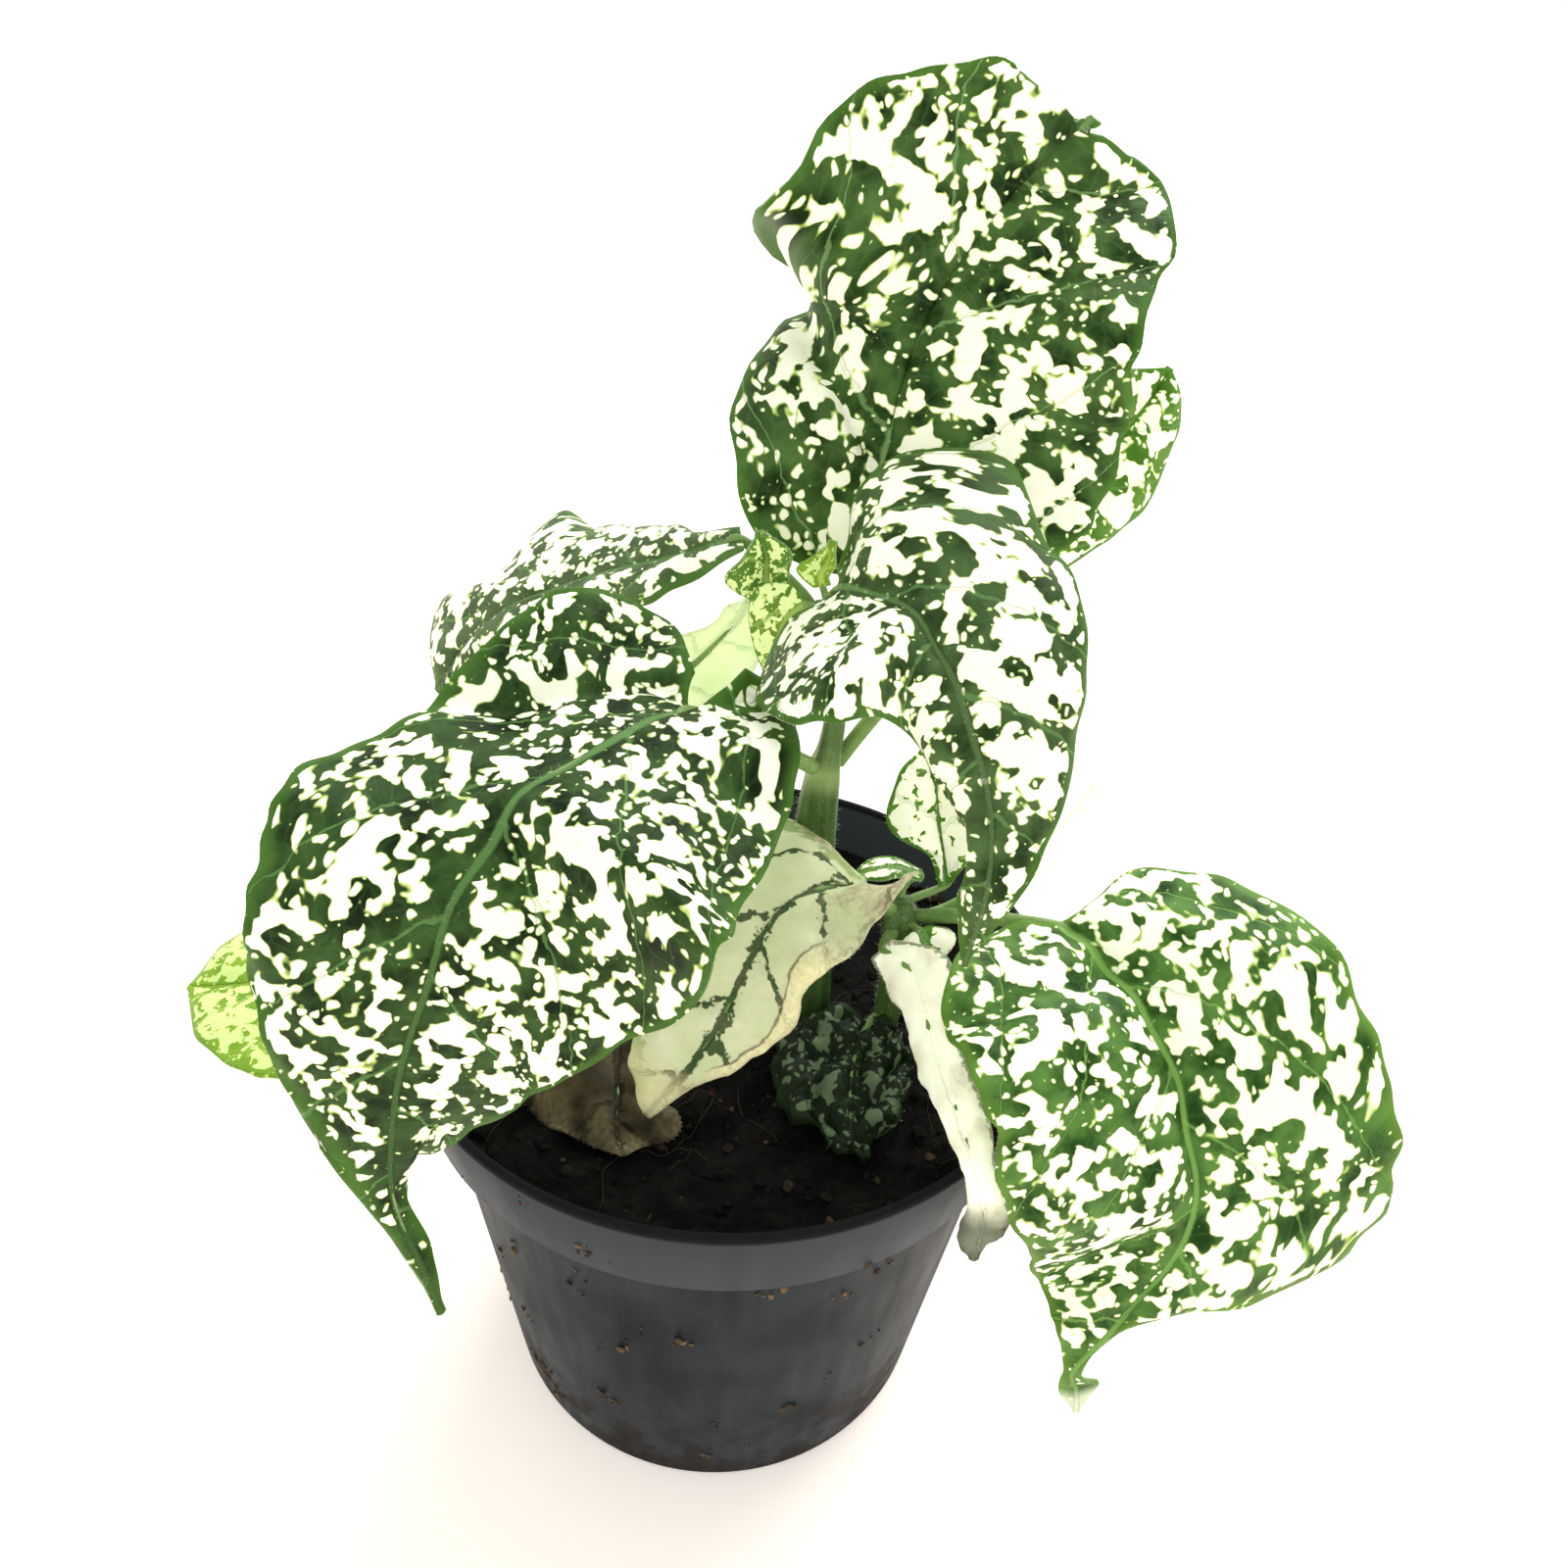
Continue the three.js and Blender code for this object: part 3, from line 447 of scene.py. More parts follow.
hair_skin, tree, shader = new_material("hair_pale")
hair_place = put(tree, "ShaderNodeTexCoord").outputs["Object"]
hair_tone = use_group(tree, tone_group, {"Size mm": 2.0, "Place": hair_place})
hair_colour = mix(tree, hair_tone["Tone"], colour(205, 222, 180), colour(238, 242, 222))
tree.links.new(hair_colour, shader.inputs["Base Color"])
shader.inputs["Roughness"].default_value = 0.5
print("hair finish:", hair_skin.name)

# %% [markdown]
# ## Stems
# Two soft stems rise from the soil. They are nearly square in section, dark green with pale upright
# streaks, and hairy, with a pale joint where the leaf stalks leave them. The stalks are younger and
# lighter. Each is a grid rolled along a curve, whose rows give the middle of the stem and its radius,
# in millimetres.

# %% Stem finishes
JOINT_HEIGHT = 106.5


def stem_finish(name, dark, light, joint):
    """Soft green skin with pale streaks and a fine grain, paler where the stalks leave the stem."""
    material, tree, shader = new_material(name)
    where = put(tree, "ShaderNodeTexCoord").outputs["Object"]
    where_mm = put(tree, "ShaderNodeVectorMath", {0: where, "Scale": 1000.0}, operation="SCALE").outputs[0]
    blotch = use_group(tree, tone_group, {"Place": where_mm, "Size mm": 4.0, "Contrast": 0.5})["Tone"]
    grain = use_group(tree, tone_group, {"Place": where_mm, "Size mm": 0.5, "Contrast": 0.8})["Tone"]
    height = put(tree, "ShaderNodeSeparateXYZ", {0: where_mm}).outputs["Z"]
    from_joint = calc(tree, "ABSOLUTE", calc(tree, "SUBTRACT", height, JOINT_HEIGHT))
    uneven = calc(tree, "ADD", from_joint, calc(tree, "MULTIPLY", blotch, 2.0))
    near = calc(tree, "SUBTRACT", 1.0, step(tree, uneven, 0.5, 4.5))
    upright = put(tree, "ShaderNodeMapping", {"Vector": where_mm, "Scale": (1, 1, 0.05)}).outputs[0]
    streak = use_group(tree, tone_group, {"Place": upright, "Size mm": 1.3, "Contrast": 0.3})["Tone"]
    green = mix(tree, blotch, dark, light)
    green = mix(tree, calc(tree, "MULTIPLY", streak, 0.4), green, colour(116, 148, 88))
    green = mix(tree, calc(tree, "MULTIPLY", near, joint), green, colour(176, 204, 130))
    green = mix(tree, calc(tree, "MULTIPLY", grain, 0.15), green, colour(150, 178, 110))
    tree.links.new(green, shader.inputs["Base Color"])
    shader.inputs["Roughness"].default_value = 0.42
    shader.inputs["Specular IOR Level"].default_value = 0.25
    shader.inputs["Subsurface Weight"].default_value = 0.15
    shader.inputs["Subsurface Radius"].default_value = (1.0, 1.6, 0.4)
    shader.inputs["Subsurface Scale"].default_value = 0.6 * MM
    bump = put(tree, "ShaderNodeBump", {"Height": grain, "Strength": 0.25, "Distance": 0.08 * MM})
    tree.links.new(bump.outputs["Normal"], shader.inputs["Normal"])
    return material


stem_skin = stem_finish("stem_green", colour(42, 70, 28), colour(66, 98, 42), 0.55)
stalk_skin = stem_finish("stalk_green", colour(94, 128, 62), colour(138, 170, 98), 0.0)
print("stem finishes:", stem_skin.name, stalk_skin.name)

# %% Stems
STEM_CORNER = 0.15
STEMS = {
    "stem_main": [
        [11, 0, 52, 3.5],
        [11, 0, 66, 3.5],
        [10.5, 0.1, 84, 3.3],
        [10.1, 0.2, 96, 2.9],
        [10.5, 0, 105, 2.3],
        [11, 0, 109, 1.6],
        [11.3, 0, 114, 1.4],
        [10.6, 0, 120, 1.4],
        [9.4, 0, 126, 2.0],
        [9, 0, 129, 1.2],
    ],
    "stem_side": [
        [22, -4, 54, 1.9],
        [22, -4, 66, 1.8],
        [22, -4, 80, 1.7],
        [22, -3.8, 86, 2.3],
        [22, -3.6, 89, 1.5],
    ],
}
for name, rows in STEMS.items():
    dice = np.random.default_rng(len(name))
    stem = tube(f"{name}_fine", rows, 90, 32, STEM_CORNER)
    stem.data.materials.append(stem_skin)
    roots, aims, lengths = hairs_round(rows, 700, 0.7, dice, 0.15)
    join_onto(stem, [hairs(f"{name}_hairs", roots, aims, lengths, dice)])
    keep_piece(stem, name)
    print(stem.name, "faces:", len(stem.data.polygons))

# %% [markdown]
# ## Leaf finishes
# A spotted leaf is dark green, lighter along its veins and its edge, and splashed with white. A few
# leaves are different: two old ones are cream with green left only along the veins, the ones in the shade
# of the others are pale too, the lowest is painted yellow-green for light shining through it, one lying
# deep in the shade is painted very dark as painted shade, and one has dried brown on the soil. Every blade
# also gives off a little of its own colour, a painted glow for light shining through it. The pattern has
# to follow the blade where it folds, so it reads a flat map that each blade carries: the distance across
# from the midrib and along it, in millimetres. The underside is paler, and veins stand out on it.

# %% Leaf finishes
LEAF_WHITE = colour(252, 255, 232)
HEM_PAINT = 3.0


def leaf_map(tree):
    """The flat map of a blade: place, distance to the margin, and 1 on the underside."""
    flat = put(tree, "ShaderNodeAttribute", attribute_name="flat_mm").outputs["Vector"]
    edge = put(tree, "ShaderNodeAttribute", attribute_name="edge_mm").outputs["Fac"]
    under = put(tree, "ShaderNodeAttribute", attribute_name="underside").outputs["Fac"]
    return flat, edge, under


def leaf_veins(tree, flat, look, length):
    return use_group(
        tree,
        vein_group,
        {
            "Flat mm": flat,
            "Spacing mm": look["spacing"],
            "Shift mm": look["shift"],
            "Length mm": length,
            "Raggedness mm": look.get("ragged", 0.12),
            "Rib mm": look.get("rib_mm", 0.75),
        },
    )


def leaf_relief(tree, shader, veins, flat, under):
    """Small relief: the net of fine veins, and the main veins, sunk above and raised below."""
    grain = use_group(tree, tone_group, {"Place": flat, "Size mm": 0.35, "Contrast": 0.9})["Tone"]
    main = calc(tree, "MAXIMUM", veins["Rib"], veins["Side"])
    flip = calc(tree, "SUBTRACT", calc(tree, "MULTIPLY", under, 0.5), 0.25)
    height = calc(tree, "MULTIPLY", main, flip)
    height = calc(tree, "ADD", height, calc(tree, "MULTIPLY", veins["Net"], 0.035))
    height = calc(tree, "ADD", height, calc(tree, "MULTIPLY", grain, 0.03))
    bump = put(tree, "ShaderNodeBump", {"Height": height, "Strength": 0.8, "Distance": MM})
    tree.links.new(bump.outputs["Normal"], shader.inputs["Normal"])


def leaf_light(tree, shader, look):
    """Light passes a little way into a blade, and a painted glow of its own colour stands for light shining
    through it, strongest on pale blades. The skin gleams faintly.
    """
    shader.inputs["Roughness"].default_value = look.get("gloss", 0.42)
    shader.inputs["Specular IOR Level"].default_value = look.get("shine", 0.1)
    shader.inputs["Subsurface Weight"].default_value = look.get("glow", 0.12)
    shader.inputs["Subsurface Radius"].default_value = (0.8, 1.6, 0.3)
    shader.inputs["Subsurface Scale"].default_value = MM
    # Painted glow: the blade gives off its own colour as light, standing in for light shining through it.
    tree.links.new(shader.inputs["Base Color"].links[0].from_socket, shader.inputs["Emission Color"])
    shader.inputs["Emission Strength"].default_value = look.get("through", 0.04)


def spotted_skin(name, look, length):
    """Green with white splashes."""
    material, tree, shader = new_material(name)
    flat, edge, under = leaf_map(tree)
    veins = leaf_veins(tree, flat, look, length)
    tone = use_group(tree, tone_group, {"Place": flat, "Size mm": 5.0, "Contrast": 0.4})["Tone"]
    wobble = use_group(tree, tone_group, {"Place": flat, "Size mm": 3.0, "Contrast": 0.9})["Tone"]
    rim = calc(tree, "SUBTRACT", edge, calc(tree, "MULTIPLY", wobble, look["rim"]))
    near_rim = calc(tree, "SUBTRACT", 1.0, step(tree, rim, 0.0, look["rim"]))
    near_rib = calc(tree, "SUBTRACT", 1.0, step(tree, veins["Away mm"], 0.5, look.get("bare", 2.6)))
    near_side = calc(tree, "SUBTRACT", 1.0, step(tree, veins["Side mm"], 0.1, 1.6))
    off_rib = calc(tree, "MULTIPLY", near_rib, 0.7)
    off_side = calc(tree, "MULTIPLY", near_side, 0.35)
    keep_off = calc(tree, "ADD", off_rib, off_side)
    keep_off = calc(tree, "ADD", keep_off, calc(tree, "MULTIPLY", near_rim, 2.0))
    keep_off = calc(tree, "ADD", keep_off, calc(tree, "MULTIPLY", veins["Rib"], 1.5))
    splash = use_group(
        tree,
        splash_group,
        {
            "Flat mm": flat,
            "Keep off": keep_off,
            "Seed": look.get("scatter", look["seed"]),
            "Size": look["size"],
            "Cover": look["cover"],
        },
    )
    green = mix(tree, tone, look["dark"], look["light"])
    green = mix(tree, calc(tree, "MULTIPLY", wobble, 0.3), green, look["dark"])
    net = calc(tree, "MULTIPLY", calc(tree, "SUBTRACT", 1.0, veins["Net"]), 0.07)
    green = mix(tree, net, green, look["vein"])
    close = calc(tree, "SUBTRACT", 1.0, step(tree, edge, 0.0, 1.9))
    green = mix(tree, calc(tree, "MULTIPLY", close, 0.55), green, look["edge"])
    green = mix(tree, calc(tree, "MULTIPLY", veins["Side"], 0.45), green, look["vein"])
    painted = mix(tree, splash["Halo"], green, look["halo"])
    painted = mix(tree, splash["White"], painted, look.get("white", LEAF_WHITE))
    painted = mix(tree, calc(tree, "MULTIPLY", veins["Side"], 0.16), painted, look["vein"])
    along = put(tree, "ShaderNodeSeparateXYZ", {0: flat}).outputs["Y"]
    rib_end = step(tree, along, 0.0, look.get("fade", 0.8) * length)
    rib_colour = mix(tree, rib_end, look["vein"], look["light"])
    painted = mix(tree, calc(tree, "MULTIPLY", veins["Rib"], 0.85), painted, rib_colour)
    if "tip" in look:
        end = step(tree, along, 0.93 * length, 0.97 * length)
        painted = mix(tree, calc(tree, "MULTIPLY", end, 0.75), painted, look["tip"])
    pale = mix(tree, 0.45, painted, colour(178, 198, 158))
    tree.links.new(mix(tree, under, painted, pale), shader.inputs["Base Color"])
    leaf_relief(tree, shader, veins, flat, under)
    leaf_light(tree, shader, look)
    return material


def cream_skin(name, look, length):
    """Cream, with green left along the veins and the edge, and dry brown stains."""
    material, tree, shader = new_material(name)
    flat, edge, under = leaf_map(tree)
    veins = leaf_veins(tree, flat, look, length)
    tone = use_group(tree, tone_group, {"Place": flat, "Size mm": 6.0, "Contrast": 0.5})["Tone"]
    wobble = use_group(tree, tone_group, {"Place": flat, "Size mm": 1.6, "Contrast": 0.8})["Tone"]
    fringe = use_group(tree, tone_group, {"Place": flat, "Size mm": 0.7, "Contrast": 0.8})["Tone"]
    stain = use_group(tree, tone_group, {"Place": flat, "Size mm": 6.0, "Contrast": 0.2})["Tone"]
    cream = mix(tree, tone, look["dark"], look["light"])
    feather = calc(tree, "MULTIPLY", calc(tree, "SUBTRACT", wobble, 0.5), look.get("feather", 2.4))
    frayed = calc(tree, "MULTIPLY", calc(tree, "SUBTRACT", fringe, 0.5), 0.7)
    feather = calc(tree, "ADD", feather, frayed)
    side_gap = calc(tree, "MULTIPLY", veins["Side mm"], 1.6)
    gap = calc(tree, "ADD", calc(tree, "MINIMUM", veins["Away mm"], side_gap), feather)
    width = look.get("vein_mm", 0.5)
    green = calc(tree, "SUBTRACT", 1.0, step(tree, gap, width - 0.12, width + 0.12))
    place = put(tree, "ShaderNodeSeparateXYZ", {0: flat}).outputs
    side_part = calc(tree, "MULTIPLY", veins["Side mm"], 1.3)
    tone_part = calc(tree, "MULTIPLY", tone, 0.7)
    fading = calc(tree, "ADD", side_part, tone_part)
    core = calc(tree, "MINIMUM", veins["Away mm"], fading)
    core_mm = look.get("core_mm", 0.3)
    in_core = calc(tree, "SUBTRACT", 1.0, step(tree, core, core_mm, core_mm + 0.25))
    green = calc(tree, "MAXIMUM", green, in_core)
    rim = calc(tree, "ADD", edge, feather)
    rim_mm = look.get("rim_mm", 0.2)
    near_rim = calc(tree, "SUBTRACT", 1.0, step(tree, rim, rim_mm, rim_mm + 0.3))
    green = calc(tree, "MAXIMUM", green, calc(tree, "MULTIPLY", near_rim, look.get("rim_green", 0.3)))
    painted = mix(tree, calc(tree, "MULTIPLY", green, look.get("green", 0.95)), cream, look["vein"])
    close = calc(tree, "SUBTRACT", 1.0, step(tree, edge, 0.0, 5.0))
    dry = calc(tree, "MULTIPLY", stain, look.get("stains", 0.0))
    dry = calc(tree, "MULTIPLY", dry, calc(tree, "ADD", close, 0.15))
    left = step(tree, calc(tree, "MULTIPLY", place["X"], -1.0), 1.0, 3.0)
    if "corner" in look:
        past = calc(tree, "SUBTRACT", 1.0, step(tree, place["Y"], *look["corner"]))
        burnt = calc(tree, "MULTIPLY", calc(tree, "MULTIPLY", past, left), calc(tree, "ADD", stain, 0.3))
        dry = calc(tree, "MAXIMUM", dry, calc(tree, "MINIMUM", burnt, 0.65))
        right = step(tree, place["X"], 1.0, 2.0)
        inner = calc(tree, "SUBTRACT", 1.0, step(tree, rim, 2.4, 2.9))
        band = calc(tree, "MULTIPLY", step(tree, rim, 0.5, 0.9), inner)
        band = calc(tree, "MULTIPLY", calc(tree, "MULTIPLY", band, right), look["margin"])
        painted = mix(tree, band, painted, colour(126, 158, 86))
    painted = mix(tree, dry, painted, mix(tree, fringe, colour(104, 88, 62), colour(204, 190, 150)))
    # The turned-under hem: a yellowish strip, partly its own colour and partly painted shade where it turns
    # away from the light, and a dark line along the fold, a painted shadow in the crease.
    if "hem" in look:
        uneven = calc(tree, "MULTIPLY", feather, 0.25)
        from_fold = calc(tree, "SUBTRACT", calc(tree, "ADD", edge, uneven), HEM_PAINT)
        grown_in = calc(tree, "MULTIPLY", left, step(tree, place["Y"], 0.25 * length, 0.4 * length))
        before_fold = calc(tree, "SUBTRACT", 1.0, step(tree, from_fold, -0.2, 0.0))
        strip = calc(tree, "MULTIPLY", before_fold, grown_in)
        painted = mix(tree, strip, painted, mix(tree, fringe, colour(206, 200, 150), colour(240, 238, 188)))
        line = calc(tree, "SUBTRACT", 1.0, step(tree, calc(tree, "ABSOLUTE", from_fold), 0.08, 0.3))
        line = calc(tree, "MULTIPLY", calc(tree, "MULTIPLY", line, grown_in), 0.7)
        painted = mix(tree, line, painted, colour(84, 74, 46))
    if "tip" in look:
        tip_from = look.get("tip_from", 0.8)
        end = step(tree, place["Y"], tip_from * length, (tip_from + 0.12) * length)
        painted = mix(tree, calc(tree, "MULTIPLY", end, 0.85), painted, look["tip"])
    pale = mix(tree, 0.4, painted, look.get("under", colour(214, 214, 178)))
    tree.links.new(mix(tree, under, painted, pale), shader.inputs["Base Color"])
    leaf_relief(tree, shader, veins, flat, under)
    leaf_light(tree, shader, {"gloss": 0.55} | look)
    return material


print("leaf finishes ready")

# %% [markdown]
# ## The shape of a blade
# A blade is laid out along its midrib. Each row gives a point of the midrib and how the two halves stand
# there: how far they reach, how steeply they rise, how far their edges are swept towards the tip, and how
# far they bulge. Between rows a smooth curve is followed. To this come the small forms of a living leaf:
# a soft wave and shallow scallops along the edge, and a quilted surface that swells between the side
# veins. The blade gets its thickness from a Solidify modifier, and the stalk runs on under it as the
# midrib.

# %% Helpers for leaves
BLADE_STEP = 0.62
BLADE_THICKNESS = 0.45
TIP_HALF_WIDTH = 0.5
PETIOLE_RADIUS = 1.0
EDGE_WAVE = 0.3
EDGE_PITCH = 12.0
SCALLOP = 0.009
SCALLOP_PITCH = 7.0
HEM_SHARE = 0.8
QUILT_HEIGHT = 0.45


def facing(faces, share):
    """Which way the upper side looks, at a share of the blade's length."""
    foot, middle, tip = [np.array(face, float) for face in faces]
    if share < 0.5:
        return unit(foot + (middle - foot) * 2 * share)
    return unit(middle + (tip - middle) * (2 * share - 1))


def blade_form(leaf, look):
    """Points of a blade in millimetres, its flat map, its distance to the margin, and its rows' frames."""
    rows = np.array([sum(row, []) for row in leaf["rows"]], float)
    last = len(rows) - 1
    fine = np.array([on_curve(rows, u)[:3] for u in np.linspace(0, last, 40 * last + 1)])
    run = np.concatenate([[0], np.cumsum(np.linalg.norm(np.diff(fine, axis=0), axis=1))])
    count = max(round(run[-1] / BLADE_STEP), 12)
    half = max(round(rows[:, [3, 7]].max() / BLADE_STEP), 5)
    share = np.linspace(-1, 1, 2 * half + 1)
    spread = np.abs(share)
    sign = np.sign(share)
    points, flats, frames = [], [], []
    for u in np.linspace(0, last, count + 1):
        row = on_curve(rows, u)
        tangent = unit(on_curve(rows, min(u + 1, last))[:3] - on_curve(rows, max(u - 1, 0))[:3])
        up = facing(leaf["faces"], u / last)
        up = unit(up - up.dot(tangent) * tangent)
        outward = np.cross(tangent, up)
        reach, lift, sweep, bow = [np.where(share < 0, row[3 + k], row[7 + k]) for k in range(4)]
        here = np.interp(u, np.linspace(0, last, len(run)), run)
        phase = look["seed"] + 1.7 * sign
        beat = 2 * math.pi * here / SCALLOP_PITCH + 2 * phase
        scallop = 1 + SCALLOP * (np.sin(beat) + np.sin(1.63 * beat + 1)) * spread
        length = np.maximum(reach, TIP_HALF_WIDTH) * spread * scallop
        wave = np.minimum(EDGE_WAVE * look.get("wave", 1.0), 0.07 * reach)
        rise = 4 * bow * spread * (1 - spread)
        beat = 2 * math.pi * here / EDGE_PITCH + phase
        rise = rise + wave * (np.sin(beat) + 0.7 * np.sin(1.71 * beat + 2)) * spread**3
        soft = look.get("soft", 0.25)
        turned_up = np.radians(lift * (1 - soft + soft * spread))
        cosine, sine = np.cos(turned_up), np.sin(turned_up)
        place = row[:3] + np.outer(sign * (length * cosine - rise * sine), outward)
        place = place + np.outer(length * sine + rise * cosine, up) + np.outer(sweep * spread**2, tangent)
        if "hem" in look:
            first = int(np.argmax(share > -HEM_SHARE))
            beyond = (spread - spread[first])[:first, None] * reach[:first, None]
            turned_down = np.radians(lift[first] - look["hem"] * soft_step(u / last, 0.25, 0.45))
            aim = -outward * math.cos(turned_down) + up * math.sin(turned_down)
            place[:first] = place[first] + beyond * aim
        points.append(place)
        flats.append(np.stack([sign * length, here + sweep * spread**2, 0 * spread], axis=1))
        frames.append((row[:3], up, u / last))
    points, flats = np.array(points), np.array(flats)
    outline = np.concatenate([flats[:, 0], flats[:, -1], flats[-1], flats[0]])[:, :2]
    gaps = flats[:, :, None, :2] - outline[None, None]
    edge = np.sqrt((gaps**2).sum(axis=3)).min(axis=2)
    return points, flats, edge, frames


def gap_to_path(flats, path):
    """Distance of every flat place to a bent line, and on which side of it the place lies."""
    best = np.full(flats.shape[:2], 1e9)
    side = np.zeros(flats.shape[:2])
    for a, b in zip(path[:-1], path[1:]):
        span = b - a
        share = np.clip(((flats - a) @ span) / span.dot(span), 0, 1)
        off = flats - a - share[..., None] * span
        gap = np.linalg.norm(off, axis=2)
        turn = np.sign(span[0] * off[..., 1] - span[1] * off[..., 0])
        side = np.where(gap < best, turn, side)
        best = np.minimum(best, gap)
    return best, side


def creased(flats, creases):
    """How far creases sink a blade and raise it on one side. A crease is a path of rows and shares."""
    push = np.zeros(flats.shape[:2])
    rings, columns = flats.shape[0] - 1, flats.shape[1] - 1
    for crease in creases:
        path = []
        for row_share, across in crease["path"]:
            path.append(flats[round(row_share * rings), round((across + 1) / 2 * columns), :2])
        gap, side = gap_to_path(flats[..., :2], np.array(path))
        push = push - crease["depth"] * np.exp(-((gap / crease["width"]) ** 2))
        push = push + crease["raise"] * soft_step(gap, 0, 7) * (side == crease["side"])
    return push


def quilted(points, flats, edge, look):
    """Swells the blade between its side veins, sinks it along them, and crumples a dry blade."""
    across, along = flats[..., 0], flats[..., 1]
    away = np.abs(across)
    lag = away * (VEIN_SLANT + VEIN_CURL * away)
    turn = (along - lag + np.sign(across) * look["shift"]) / look["spacing"]
    off = np.abs(turn - np.floor(turn) - 0.5) * look["spacing"] * 0.72
    swell = soft_step(np.minimum(off / 4, away / 3), 0, 1) * np.clip(edge / 4, 0, 1)
    normal = unit(np.cross(np.gradient(points, axis=1), np.gradient(points, axis=0)) + 1e-9)
    push = swell * QUILT_HEIGHT
    if "crumple" in look:
        depth, pitch = look["crumple"]
        offset = Vector((look["seed"], 0, 0))
        fold = [noise.fractal(Vector(flat) / pitch + offset, 0.9, 2.0, 3) for flat in flats.reshape(-1, 3)]
        push = push + depth * np.array(fold).reshape(push.shape)
    push = push + creased(flats, look.get("creases", []))
    return points + normal * push[..., None]


def build_leaf(name, leaf, look, skin, stalk_skin):
    """A finished leaf: blade, stalk with midrib, and hairs, joined in one piece."""
    dice = np.random.default_rng(look["seed"])
    points, flats, edge, frames = blade_form(leaf, look)
    shaped = quilted(points, flats, edge, look)
    blade, row, column = sheet_from_grid(f"{name}_fine", shaped * MM)
    mesh = blade.data
    flat_map = mesh.attributes.new("flat_mm", "FLOAT_VECTOR", "POINT")
    flat_map.data.foreach_set("vector", flats[row, column].ravel())
    mesh.attributes.new("edge_mm", "FLOAT", "POINT").data.foreach_set("value", edge[row, column])
    upper_points = len(mesh.vertices)
    apply_modifier(blade, "SOLIDIFY", thickness=BLADE_THICKNESS * MM, offset=0)
    below = (np.arange(len(mesh.vertices)) >= upper_points).astype(float)
    mesh.attributes.new("underside", "FLOAT", "POINT").data.foreach_set("value", below)
    bpy.ops.object.shade_smooth()
    mesh.materials.append(skin)
    thick = leaf.get("petiole_radius", PETIOLE_RADIUS)
    path = [point + [thick] for point in leaf.get("petiole", [])]
    for place, up, share in frames[:: max(len(frames) // 14, 1)]:
        radius = max(thick * (0.8 - 0.85 * share), 0.16)
        stands_out = 0.12 + 0.2 * max(1 - share / 0.15, 0)
        path.append(list(place - up * (radius - stands_out)) + [radius])
    stalk = tube(f"{name}_stalk", path, 6 * len(path), 10)
    stalk.data.materials.append(stalk_skin)
    roots, aims, lengths = hairs_round(path, int(7 * len(path) * look.get("hairy", 4)), 0.75, dice)
    extra = [stalk, hairs(f"{name}_hairs", roots, aims, lengths, dice)]
    for j, inner in ((0, 1), (-1, -2)):
        pick = dice.integers(2, len(shaped) - 2, 2 * len(shaped))
        side = shaped[pick, j] - shaped[pick, inner]
        size = dice.uniform(0.15, 0.35, len(pick))
        extra.append(hairs(f"{name}_fringe{inner}", shaped[pick, j], side, size, dice))
    join_onto(blade, extra)
    keep_piece(blade, name)
    print(f"{blade.name}: {flats[-1, :, 1].max():.0f} mm long, {len(blade.data.polygons)} faces")
    return blade


print("leaf helpers ready")

# %% [markdown]
# ## The leaves
# The rows of every leaf, in millimetres. Each row is a point of the midrib, then the left and the right
# half there, as seen on the upper side with the tip pointing away: reach, rise in degrees, sweep towards
# the tip, and bulge. faces gives the way the upper side looks at the foot, in the middle and at the tip.
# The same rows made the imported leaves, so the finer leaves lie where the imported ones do.

